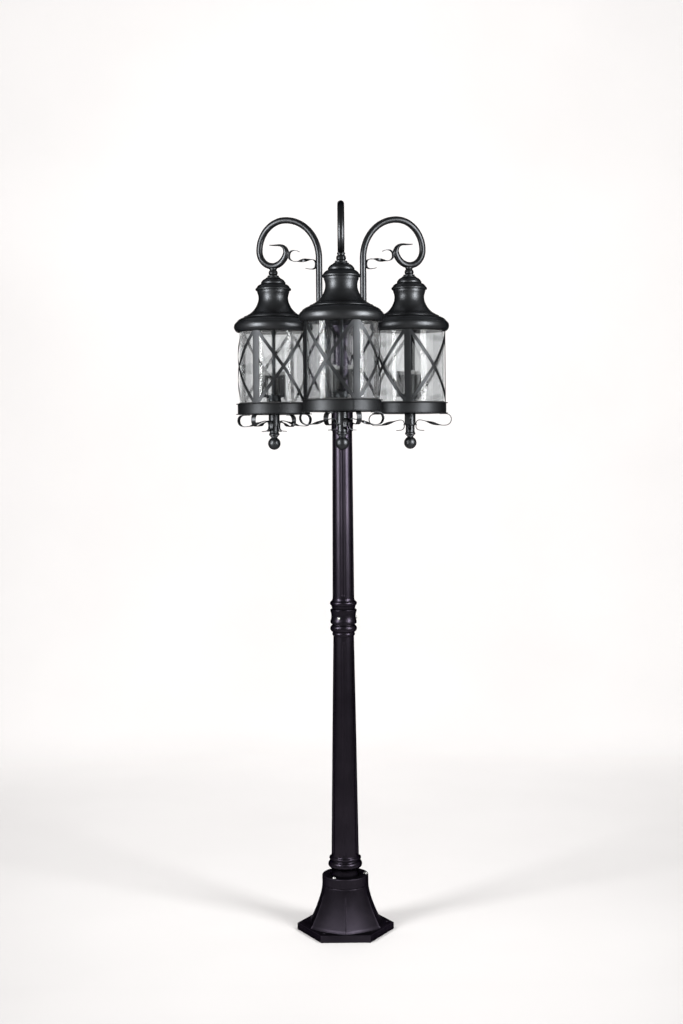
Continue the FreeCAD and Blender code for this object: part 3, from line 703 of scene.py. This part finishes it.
def make_upper_pole():
    foot = JOINT_Z + 26
    points = outline(
        (28, JOINT_Z), (36.8, JOINT_Z), (36.8, foot), (38.2, 1031.5, 38.8, 1035.5),
        (43.2, 1043, 38.4, 1050),
        (35.8, 1054.5, 34.7, 1062), (34.6, 1065), (31.5, POLE_TOP), (28, POLE_TOP))
    points = stacked(softened(points, 0.5), (1066, 1584))
    pole = lathe("upper_column", points, POST_PAINT, 288, flute_shape(1066, 1584, 2.1, 6.0))
    stand_in(pole, "post", "upper_pole")


def make_coupling():
    low = SLEEVE_LOW
    top = SLEEVE_TOP
    points = outline(
        (36.95, low), (40.6, low), (42.0, low + 2.5), (42.0, low + 8.5),
        (39.2, low + 25, 42.2, top - 6),
        (42.2, top - 2), (40.8, top), (36.95, top))
    sleeve = lathe("coupling_collar", softened(points, 0.8), POST_PAINT, 144)
    stand_in(sleeve, "post", "coupling_sleeve")
    parts = []
    for z, seat in ((997.0, 40.3), (HUB_LOW + 22, 34.6)):
        for azimuth in (-112.0, 8.0, 128.0):
            shape = softened(screw_outline(-6.0, 0.0, 5.0, 3.4), 0.3)
            screw = lathe("set", shape, ZINC, 32)
            laid_out(screw, seat, z)
            place(screw, azimuth)
            parts.append(screw)
    screws = joined("set_screw_set", parts)
    stand_in(screws, "post", "set_screws")


# ---------------------------------------------------------------- hub and arms
def make_hub():
    top = HUB_TOP
    points = outline(
        (31.9, HUB_LOW), (33.7, HUB_LOW), (34.5, HUB_LOW + 1), (34.5, 1888), (36.5, 1889),
        (39.0, 1892.5, 36.5, 1896),
        (36.2, 1898), (40.5, 1903, HUB_R - 2, 1920), (HUB_R, 1922), (HUB_R, top - 2), (HUB_R - 2, top),
        (HUB_R - 4, top), (HUB_R - 4, 1924), (31.9, 1910), (31.9, HUB_LOW + 60))
    hub = lathe("hub_drum", softened(points, 0.7), POST_PAINT, 128)
    collars = []
    for azimuth in ARMS.values():
        ring = [(TUBE_R - 0.1, 0), (15.5, 0), (15.5, 3), (13.0, 5.5), (TUBE_R - 0.1, 5.5)]
        collar = lathe("collar", softened(ring, 0.6), POST_PAINT, 48)
        laid_out(collar, HUB_R - 2.6, ELBOW_Z)
        place(collar, azimuth)
        collars.append(collar)
    hub = joined("hub_drum", [hub] + collars)
    stand_in(hub, "post", "head_hub")
    lid = outline(
        (0, top + 30), (5.2, top + 25, 2.6, top + 20.5), (6, top + 18.5),
        (30, top + 13.5, HUB_R - 4, top + 4),
        (HUB_R - 1, top + 2.5), (HUB_R - 1, top), (HUB_R - 4.2, top), (HUB_R - 4.2, top - 8),
        (HUB_R - 6.2, top - 8), (HUB_R - 6.2, top + 1), (24, top + 9.5, 0, top + 14))
    cap = lathe("hub_lid", softened(lid, 0.6), POST_PAINT, 96)
    stand_in(cap, "post", "hub_cap")


def arm_stations():
    """Centre line of an arm in its own X-Z plane: stations of (x, z, half thickness, half width).

    The bar's stations come first. The second list leads on to the tip of the flattened leaf.
    """
    points = [(HUB_R - 14, ELBOW_Z)]
    big_x = LEG_REACH + BIG_ARC
    points.append((LEG_REACH - ELBOW_R, ELBOW_Z))
    points += turn_points(LEG_REACH - ELBOW_R, ELBOW_Z + ELBOW_R, ELBOW_R, -90, 0, 18)
    points += [(LEG_REACH, ELBOW_Z + ELBOW_R + k * 14) for k in range(1, 12)]
    points += turn_points(big_x, SPRING_Z, BIG_ARC, 180, 90, 44)
    points += turn_points(big_x, LOOP_Z, MID_ARC, 90, 0, 40)
    points += turn_points(REACH, LOOP_Z, LOOP_R, 0, -164, 60)
    stations = [(x, z, TUBE_R, TUBE_R) for x, z in points]
    x, z = REACH, LOOP_LOW
    leaf = [(x - 51.0, z + 38.6, 10.4, 10.4), (x - 50.9, z + 42, 9.8, 10.4),
            (x - 49.6, z + 48.5, 8.2, 10.4),
            (x - 46.0, z + 56, 6.6, 10.3), (x - 39.5, z + 62, 5.2, 10.0), (x - 30.0, z + 66, 4.0, 9.4),
            (x - 18.0, z + 67.6, 3.0, 8.4), (x - 6.0, z + 68.0, 2.3, 7.0),
            (x + 5.0, z + 68.8, 1.8, 5.0),
            (x + 13.5, z + 70.2, 1.3, 2.4)]
    return stations, leaf


def turn_points(cx, cz, radius, start, end, count):
    """Points along a circular bend, after its first point."""
    out = []
    for k in range(1, count + 1):
        angle = math.radians(start + (end - start) * k / count)
        out.append((cx + radius * math.cos(angle), cz + radius * math.sin(angle)))
    return out


def make_arm():
    """Round bar for the whole arm, drawn out to a leaf at its end."""
    stations, leaf = arm_stations()
    fine = smooth_curve([(x, a, z) for x, z, a, b in leaf], 2.0)
    wide = smooth_curve([(x, b, z) for x, z, a, b in leaf], 2.0)
    count = min(len(fine), len(wide))
    stations += [(fine[k].x, fine[k].z, fine[k].y, wide[k].y) for k in range(1, count)]
    built = []
    for k, (x, z, thick, width) in enumerate(stations):
        before = stations[max(0, k - 1)]
        after = stations[min(len(stations) - 1, k + 1)]
        along = Vector((after[0] - before[0], 0, after[1] - before[1])).normalized()
        side = Vector((-along.z, 0, along.x))
        built.append((Vector((x, 0, z)), Vector((0, width, 0)), side * thick))
    return sweep("arm", built, round_section(36), STEEL_PAINT)


def ribbon(name, points, widths, sheet, twist_from, twist_to, turns, material):
    """Flat strap along points in the X-Z plane, with its width and a twist along its run."""
    line = smooth_curve([(x, 0, z) for x, z in points], 1.6)
    total = len(line) - 1
    stations = []
    for k, point in enumerate(line):
        share = k / total
        before = line[max(0, k - 1)]
        after = line[min(total, k + 1)]
        along = (after - before).normalized()
        spin = Matrix.Rotation(math.pi * turns * ease(share, twist_from, twist_to), 3, along)
        place_on = share * (len(widths) - 1)
        i = min(int(place_on), len(widths) - 2)
        width = widths[i] + (widths[i + 1] - widths[i]) * (place_on - i)
        across = spin @ Vector((0, 1, 0))
        thick = along.cross(across)
        stations.append((point, across * width / 2, thick * sheet / 2))
    return sweep(name, stations, strap_section(), material)


def make_arm_scroll():
    z = LOOP_LOW
    leg = LEG_REACH + TUBE_R
    points = [
        (132, z - 15), (118, z - 18.3), (104, z - 19), (leg + 3.5, z - 14.5), (leg + 1.5, z - 6),
        (leg + 2.4, z + 2), (leg + 8.5, z + 9.5), (114, z + 12.6), (140, z + 11.5), (168, z + 10),
        (184, z + 12.5),
        (194.2, z + 20), (196.2, z + 30), (193.2, z + 39.5), (186, z + 45), (175, z + 46),
        (164, z + 43.5), (156, z + 40)]
    widths = [5, 9, 11.5, 12, 12, 11.5, 11, 11, 11.5, 12, 11.5, 9, 4.5]
    return ribbon("arm_ribbon", points, widths, 2.3, 0.34, 0.62, 1, STEEL_PAINT)


def make_arms():
    arm = make_arm()
    scroll = make_arm_scroll()
    scrolls = []
    for name, azimuth in ARMS.items():
        piece = copied(arm, f"scroll_arm_{name}", azimuth)
        stand_in(piece, "post", f"arm_{name}")
        scrolls.append(copied(scroll, f"ribbon_{name}", azimuth))
    bpy.data.objects.remove(arm)
    bpy.data.objects.remove(scroll)
    ribbons = joined("arm_ribbons", scrolls)
    stand_in(ribbons, "post", "arm_scrolls")


def make_knuckles():
    """Six-sided rounded nuts that hang the lanterns from the loops."""
    z = KNUCKLE_LOW
    points = outline(
        (5.1, z), (11.6, z), (12.4, z + 1.0), (14.6, z + 4.5), (14.9, z + 10), (13.2, z + 14.5),
        (11.6, z + 16.6),
        (10.6, z + 17.4), (10.6, z + 18.6), (12.2, z + 20.6, 11.4, z + 25.0), (3.2, z + 25),
        (3.2, z + 16.4),
        (5.1, z + 16.4))

    def six_sided(radius, angle, _):
        if not 13 < radius < 16:
            return radius
        return radius * (0.94 + 0.07 * facet_rise(angle, 0))

    parts = []
    for name, azimuth in ARMS.items():
        at = polar(REACH, azimuth)
        parts.append(lathe(f"nut_{name}", softened(points, 0.5), STEEL_PAINT, 72, six_sided,
                           (at.x, at.y)))
    nuts = joined("hanging_nuts", parts)
    stand_in(nuts, "post", "arm_knuckles")


# ---------------------------------------------------------------- lantern pieces
def make_crown():
    top = CROWN_TOP
    ledge = 2063.0
    points = outline(
        (6.1, top), (18.4, top), (18.9, top - 1.5), (18.9, top - 4.2), (20.5, top - 5.4),
        (24.4, top - 7.2),
        (24.8, top - 9.4), (33.0, top - 13.5, 38.6, top - 20.5), (40.2, top - 21.8), (40.4, top - 24.5),
        (40.6, top - 27.2), (42.2, top - 28.6), (49.8, top - 32.8, 54.6, top - 39.6),
        (55.8, top - 40.8),
        (58.7, top - 45.4, 55.8, top - 49.8), (53.6, top - 49.8), (53.6, ledge), (48.0, ledge),
        (36.5, ledge + 13), (36.0, top - 24), (30.5, top - 17.5, 22.0, top - 12.5), (14.0, top - 9),
        (6.1, top - 9))
    return lathe("crown", softened(points, 0.5), LANTERN_PAINT, 128)


def make_cap():
    points = outline(
        (52.8, 2063), (53.0, 2051), (48.8, 2031.6, 53.3, 2012), (62.0, 1996.2, 79.2, 1980.0),
        (80.4, 1979.4), (87.2, 1975.4, 92.4, 1971.4), (94.8, 1972.0, 96.8, 1970.6),
        (97.6, 1969.0, 96.4, 1967.6), (98.2, 1967.9), (108.5, 1964.2, 118.0, 1957.9),
        (121.2, 1953.2), (130.0, 1936.0, 120.6, RIM_LOW + 0.2),
        (118.2, RIM_LOW), (127.9, 1936.2, 119.4, 1951.8), (116.6, 1955.8),
        (106.5, 1961.8, 94.4, 1965.6),
        (92.4, 1966.0), (86.4, 1972.6, 79.6, 1977.2), (60.4, 1994.8, 51.5, 2011.2),
        (46.8, 2031.6, 51.0, 2051.5), (50.8, 2063))
    return lathe("cap", softened(points, 0.6), LANTERN_PAINT, 160)


def make_glass():
    """Clear tube whose wall wanders a little, as drawn glass does."""
    points = softened([(GLASS_R, GLASS_LOW), (GLASS_R, GLASS_TOP), (GLASS_R - 2.8, GLASS_TOP),
                       (GLASS_R - 2.8, GLASS_LOW)], 0.8)
    full = []
    for a, b in zip(points, points[1:] + points[:1]):
        full.append(a)
        if abs(b[1] - a[1]) > 50:
            shares = [k / 16 for k in range(1, 16)]
            full += [(a[0] + (b[0] - a[0]) * t, a[1] + (b[1] - a[1]) * t) for t in shares]

    def wander(radius, angle, z):
        side = 0.6 if radius > GLASS_R - 1.4 else 1.7
        wave = noise.noise(Vector((3.1 * math.cos(angle), 3.1 * math.sin(angle), z * 0.002 + side)))
        return radius + 0.25 * wave
    return lathe("glass_tube", full, GLASS, 144, wander)


def make_gasket():
    low = TRAY_TOP
    points = [(109.8, low), (114.2, low), (114.4, low + 1.0), (114.2, GLASS_LOW + 1.4),
              (113.9, GLASS_LOW + 1.4),
              (113.8, GLASS_LOW), (109.8, GLASS_LOW)]
    return lathe("gasket_ring", points, RUBBER, 96)


def wrapped_strap(name, start, end, width, sheet, lift):
    """Flat strap bent round the cage's cylinder between two (degrees, height) points."""
    stations = []
    count = 40
    base = CAGE_R - sheet / 2
    run = (math.radians(end[0] - start[0]) * base, end[1] - start[1])
    length = math.hypot(*run)
    for k in range(count + 1):
        share = k / count
        angle = math.radians(start[0] + (end[0] - start[0]) * share)
        z = start[1] + (end[1] - start[1]) * share
        radius = base + lift(share)
        out = Vector((math.cos(angle), math.sin(angle), 0))
        round_way = Vector((-math.sin(angle), math.cos(angle), 0))
        along = (round_way * run[0] + Vector((0, 0, 1)) * run[1]) / length
        across = out.cross(along)
        stations.append((out * radius + Vector((0, 0, z)), across * width / 2, out * sheet / 2))
    return sweep(name, stations, strap_section(), SHEET_PAINT)


def make_bar(azimuth):
    """Upright sheet bar, rolled to the cylinder."""
    half = math.degrees(11.0 / CAGE_R)
    low = TRAY_TOP
    high = CAGE_TOP - 0.35
    sheet = 2.0
    columns = 8
    section = []
    for k in range(columns + 1):
        section.append((CAGE_R, azimuth - half + 2 * half * k / columns))
    for k in range(columns + 1):
        section.append((CAGE_R - sheet, azimuth + half - 2 * half * k / columns))
    rings = [[polar(r, a, z) for r, a in section] for z in (low, low + 60, low + 125, low + 190, high)]
    bar = capped("bar", rings, SHEET_PAINT)
    ease_edges = bar.modifiers.new("edges", "BEVEL")
    ease_edges.width = 0.45 * MM
    ease_edges.segments = 3
    ease_edges.limit_method = "ANGLE"
    ease_edges.angle_limit = math.radians(40)
    bpy.context.view_layer.objects.active = bar
    bpy.ops.object.modifier_apply(modifier="edges")
    shade(bar)
    return bar


def make_cage():
    """Four upright bars, four crossed braces and the hidden hoop that ties their tops."""
    parts = []
    low = 1689.5
    high = 1916.5

    def over(share):
        """Outward bow of a brace where it crosses the other one."""
        return 0.9 * math.exp(-((share - 0.5) / 0.07) ** 2)

    def under(share):
        return -0.55 * math.exp(-((share - 0.5) / 0.07) ** 2)

    for k in range(4):
        parts.append(make_bar(90 * k))
        a = 90 * k + 4.2
        b = 90 * k + 85.8
        parts.append(wrapped_strap("brace", (a, low), (b, high), 10.8, 1.5, over))
        parts.append(wrapped_strap("brace", (a, high), (b, low), 10.8, 1.5, under))
    hoop = [(CAGE_R - 2, CAGE_TOP - 14), (CAGE_R, CAGE_TOP - 14), (CAGE_R, CAGE_TOP),
            (CAGE_R - 2, CAGE_TOP)]
    parts.append(lathe("hoop", softened(hoop, 0.5), SHEET_PAINT, 144))
    return joined("cage", parts)


def make_tray():
    """Pan with thin rolled flanges; its web has an overlapped seam."""
    low = TRAY_LOW
    top = TRAY_TOP
    edge = 124.8
    points = outline(
        (6.08, low), (edge - 1, low), (edge, low + 1.0, edge - 1, low + 2.0), (WEB_R + 1.2, low + 2.0),
        (WEB_R, low + 3.2), (WEB_R, top - 3.2), (WEB_R + 1.2, top - 2.0), (edge - 1, top - 2.0),
        (edge, top - 1.0, edge - 1, top), (108, top), (108, top - 2), (WEB_R - 3.2, top - 2),
        (WEB_R - 2, top - 3.2), (WEB_R - 2, low + 3.2), (WEB_R - 3.2, low + 2), (6.08, low + 2))

    def seam(radius, angle, z):
        turned = (math.degrees(angle) + 6.2) % 360
        step = 0.7 * (ease(turned, 0.0, 0.25) - ease(turned, 90, 180))
        inside = low + 3 < z < top - 3 and radius > WEB_R - 0.5
        return radius + (step if inside else 0.0)
    return lathe("tray", softened(points, 0.4), SHEET_PAINT, 288, seam)


def make_stem():
    low = STEM_LOW
    points = outline(
        (6.08, low), (14.6, low), (17.3, low + 4, 15.6, low + 8.2), (14.8, low + 10), (14.6, low + 11),
        (14.6, low + 30), (15.4, low + 31), (18.0, low + 33.5), (18.0, TRAY_LOW - 2), (17.0, TRAY_LOW),
        (6.08, TRAY_LOW))
    return lathe("stem", softened(points, 0.6), LANTERN_PAINT, 72)


def make_foot_scrolls():
    """Four straps: under the flange, round a curl, half a twist in to the stem, and out."""
    z = TRAY_LOW - 1.25
    points = [
        (97, z), (109, z), (120, z - 0.4), (129, z - 4), (134.4, z - 12), (135.0, z - 21),
        (131, z - 30.5),
        (122.5, z - 36.5), (111, z - 38.0), (96, z - 36.4), (80, z - 32.6), (64, z - 27.8),
        (48, z - 23),
        (36, z - 20.2), (28, z - 20.2), (22.2, z - 23.6), (19.4, z - 31), (19.2, z - 40),
        (21.2, z - 47.5),
        (26.5, z - 52), (35, z - 53.8), (46, z - 54.6)]
    widths = [17, 17, 17, 16.5, 16, 14, 11, 9.5, 9, 9, 9.5, 10.5, 11, 11, 10, 8, 4.5]
    strap = ribbon("foot_strap", points, widths, 2.3, 0.40, 0.66, 1, STEEL_PAINT)
    rivet = outline((0, 0), (2.6, 0), (2.2, 1.2, 0, 1.6))
    head = lathe("rivet", softened(rivet, 0.1), STEEL_PAINT, 20)
    laid_out(head, 20.1, z - 35.5)
    pair = joined("foot_strap", [strap, head])
    parts = [pair] + [copied(pair, f"foot_strap_{k}", 90 * k) for k in (1, 2, 3)]
    return joined("foot_straps", parts)


def make_finial():
    low = STEM_LOW
    ball_r = 20.5
    ball_z = 1554.5
    neck = 10.2
    join = ball_z + math.sqrt(ball_r ** 2 - neck ** 2)
    lean = math.radians(-20)
    points = outline(
        (0, ball_z - ball_r),
        (ball_r * math.cos(lean), ball_z + ball_r * math.sin(lean), neck, join),
        (9.6, join + 1.6), (9.8, join + 3), (12.8, low - 3.2), (13.4, low - 2.0), (13.2, low - 0.6),
        (12.4, low - 0.4),
        (5.06, low - 0.4), (5.06, 1560), (0, 1560))
    return lathe("ball_finial", softened(points, 0.5), LANTERN_PAINT, 80)


def make_rod():
    points = [(0, 1562), (5.0, 1562), (5.0, STEM_LOW + 1), (6.0, STEM_LOW + 1), (6.0, CROWN_TOP),
              (5.0, CROWN_TOP), (5.0, 2122), (0, 2122)]
    rod = lathe("rod", softened(points, 0.3), LANTERN_PAINT, 40)
    nut = softened([(6.0, 0), (11, 0), (11, 6), (6.0, 6)], 0.6)

    def six(radius, angle, _):
        return radius * (1 + CORNER_GAIN * facet_rise(angle, 0)) if radius > 9 else radius
    nuts = []
    for z in (CLUSTER_TOP, CLUSTER_LOW - 6, 2085):
        piece = lathe("nut", nut, STEEL_PAINT, 72, six)
        piece.data.transform(Matrix.Translation((0, 0, z * MM)))
        nuts.append(piece)
    return joined("rod", [rod] + nuts)


def at_candles(name, points, material, segments):
    """The same turned piece at each of the three candle places."""
    places = [polar(CANDLE_RING, 120 * k) for k in range(3)]
    return [lathe(name, points, material, segments, None, (at.x, at.y)) for at in places]


def make_cluster():
    low = CLUSTER_LOW
    top = CLUSTER_TOP
    points = outline(
        (6.05, low), (19.5, low), (23.2, low + 1.6, 24.5, low + 6), (24.5, top - 2), (22.5, top),
        (6.05, top))
    pad = outline((0, top - 7), (10, top - 7), (13.3, top - 5, 13.5, top - 1.6), (13.1, top), (0, top))
    body = lathe("cluster", softened(points, 0.6), LANTERN_PAINT, 80)
    return joined("cluster", [body] + at_candles("pad", softened(pad, 0.5), LANTERN_PAINT, 48))


def make_candles():
    """Plain sleeves with eased edges."""
    tube = outline((10.9, CLUSTER_TOP), (12, CLUSTER_TOP), (12, SLEEVE_END - 0.4), (11.6, SLEEVE_END),
                   (10.9, SLEEVE_END))
    return joined("candles", at_candles("sleeve", softened(tube, 0.3), SLEEVE, 56))


def make_holders():
    """Pale lamp holders with a ribbed brass shell."""
    top = HOLDER_END
    collar = outline((7.6, CLUSTER_TOP + 1), (10.8, CLUSTER_TOP + 1), (10.8, SLEEVE_END), (12, SLEEVE_END),
                     (12, top - 1.4), (11.6, top - 0.4), (10.6, top), (8.2, top), (7.6, top - 0.6))
    ribs = [(7.0 + 0.3 * math.sin(z * 2.1), top - 1 - z) for z in [0.5 * j for j in range(50)]]
    shell = [(7.6, top - 1)] + ribs + [(0, top - 26), (0, top - 27), (7.6, top - 27)]
    parts = at_candles("holder", softened(collar, 0.3), PORCELAIN, 56)
    return joined("holders", parts + at_candles("shell", shell, BRASS, 48))


LANTERN_PIECES = (
    ("crown", make_crown, "lantern", "lantern_paint"),
    ("cap", make_cap, "lantern", "lantern_paint"),
    ("rod", make_rod, "lantern", "steel_paint"),
    ("glass", make_glass, "cage", "glass"),
    ("gasket", make_gasket, "cage", "rubber"),
    ("cage", make_cage, "cage", "lantern_paint"),
    ("tray", make_tray, "cage", "lantern_paint"),
    ("stem", make_stem, "cage", "lantern_paint"),
    ("foot_scrolls", make_foot_scrolls, "cage", "steel_paint"),
    ("finial", make_finial, "finial", "lantern_paint"),
)
CANDLE_PIECES = (
    ("cluster", make_cluster, "lantern", "lantern_paint"),
    ("candle_sleeves", make_candles, "lantern", "sleeve"),
    ("lamp_holders", make_holders, "lantern", "holder"),
)


def make_lanterns():
    """Each piece is made once on the axis and copied to its three places."""
    for pieces, turns in ((LANTERN_PIECES, LANTERN_TURN), (CANDLE_PIECES, CANDLE_TURN)):
        for node, make, body, slot in pieces:
            first = make()
            for name, azimuth in ARMS.items():
                turn = azimuth + turns[name]
                piece = copied(first, f"{node}_{name}_shape", turn, polar(REACH, azimuth))
                stand_in(piece, f"{body}_{name}", f"{node}_{name}")
            bpy.data.objects.remove(first)


def finish_cad_nodes():
    """The nodes that stay are sealed inside; they get the cable and terminal finishes."""
    cable = plain_grained("cable", (0.010, 0.010, 0.010), (0.018, 0.018, 0.018), 700.0, 0.5, 0.65)
    terminal = plain_grained("terminal", (0.66, 0.65, 0.60), (0.76, 0.75, 0.70), 600.0, 0.4, 0.55)
    kept = {"riser_cable": cable, "arm_wires": cable, "terminal_blocks": terminal}
    for name in ARMS:
        kept[f"lamp_lead_{name}"] = cable
    for node, material in kept.items():
        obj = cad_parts[node]
        obj.data.materials.clear()
        obj.data.materials.append(material)


# ---------------------------------------------------------------- stage, light and camera
def floor_material():
    """Matt pale floor. Its glow grows both ways from a line DARK_LINE metres before the lamp."""
    material, nodes, links, shader = new_material("floor")
    tone = add_noise(nodes, links, 0.8, 3.0)
    ramp = add_ramp(nodes, links, tone.outputs["Fac"], 0.3, 0.7,
                    (0.555, 0.542, 0.537), (0.59, 0.577, 0.572))
    links.new(ramp.outputs["Color"], shader.inputs["Base Color"])
    shader.inputs["Roughness"].default_value = 0.75
    shader.inputs["Specular IOR Level"].default_value = 0.2
    links.new(ramp.outputs["Color"], shader.inputs["Emission Color"])
    axes = nodes.new("ShaderNodeSeparateXYZ")
    where = nodes.new("ShaderNodeTexCoord")
    links.new(where.outputs["Object"], axes.inputs["Vector"])
    shifted = add_math(nodes, links, "ADD", axes.outputs["Y"])
    shifted.inputs[1].default_value = DARK_LINE
    distance = add_math(nodes, links, "ABSOLUTE", shifted.outputs["Value"])
    glow = nodes.new("ShaderNodeMapRange")
    glow.inputs["From Min"].default_value = 0.4
    glow.inputs["From Max"].default_value = 3.9
    glow.inputs["To Min"].default_value = 0.0
    glow.inputs["To Max"].default_value = 0.84
    links.new(distance.outputs["Value"], glow.inputs["Value"])
    links.new(glow.outputs["Result"], shader.inputs["Emission Strength"])
    return material


def make_stage():
    """Pale floor that sweeps up into a back wall."""
    half_width = 9.0
    bend_y = 2.6
    bend_r = 1.6
    below = 0.2
    profile = [(-9.0, 0.0), (bend_y, 0.0)]
    for k in range(1, 13):
        angle = math.radians(7.5 * k)
        profile.append((bend_y + bend_r * math.sin(angle), bend_r * (1 - math.cos(angle))))
    profile.append((bend_y + bend_r, 7.0))
    vertices = []
    for y, z in profile:
        vertices += [(side * half_width / MM, y / MM, z / MM - below) for side in (-1, 1)]
    faces = [(2 * k, 2 * k + 1, 2 * k + 3, 2 * k + 2) for k in range(len(profile) - 1)]
    sweep_wall = mesh_object("studio_floor", vertices, faces, floor_material())


def area_light(name, where, target, size, power):
    """Softbox that lights the lamp but never shows itself behind the glass."""
    data = bpy.data.lights.new(name, "AREA")
    data.shape = "RECTANGLE"
    data.size = size[0]
    data.size_y = size[1]
    data.energy = power
    light = added(bpy.data.objects.new(name, data))
    light.location = where
    light.rotation_euler = (Vector(target) - Vector(where)).to_track_quat("-Z", "Y").to_euler()
    light.visible_camera = False
    light.visible_transmission = False


def make_lights():
    area_light("left_softbox", (-1.34, -1.0, 1.95), (0, 0, 1.6), (0.5, 1.4), 62)
    area_light("right_softbox", (1.3, -1.05, 1.95), (0, 0, 1.6), (0.55, 1.4), 68)
    area_light("wall_wash", (0, 0.9, 4.6), (0, 4.0, 2.2), (6.0, 1.0), 72)
    world = bpy.data.worlds.new("studio")
    bpy.context.scene.world = world
    world.use_nodes = True
    back = world.node_tree.nodes["Background"]
    back.inputs["Color"].default_value = (1.0, 0.995, 0.99, 1)
    back.inputs["Strength"].default_value = 0.24


def make_camera():
    """Level camera at chest height, rolled by under half a degree, its picture shifted down."""
    drop_share = -0.06836
    data = bpy.data.cameras.new("camera")
    data.lens = 52.03
    data.sensor_width = 36.0
    data.sensor_fit = "AUTO"
    data.shift_y = drop_share
    data.clip_end = 60
    camera = added(bpy.data.objects.new("camera", data))
    level = Matrix.Rotation(math.radians(90), 4, "X")
    roll = Matrix.Rotation(math.radians(0.4), 4, "Y")
    camera.matrix_world = Matrix.Translation((-0.0026, -4.736, 1.558)) @ roll @ level
    bpy.context.scene.camera = camera


bpy.context.scene.view_settings.view_transform = "Standard"
make_camera()
make_stage()
make_lights()
make_pedestal()
make_clamp_ring()
make_clamp_screws()
make_lower_pole()
make_upper_pole()
make_coupling()
make_hub()
make_arms()
make_knuckles()
make_lanterns()
finish_cad_nodes()
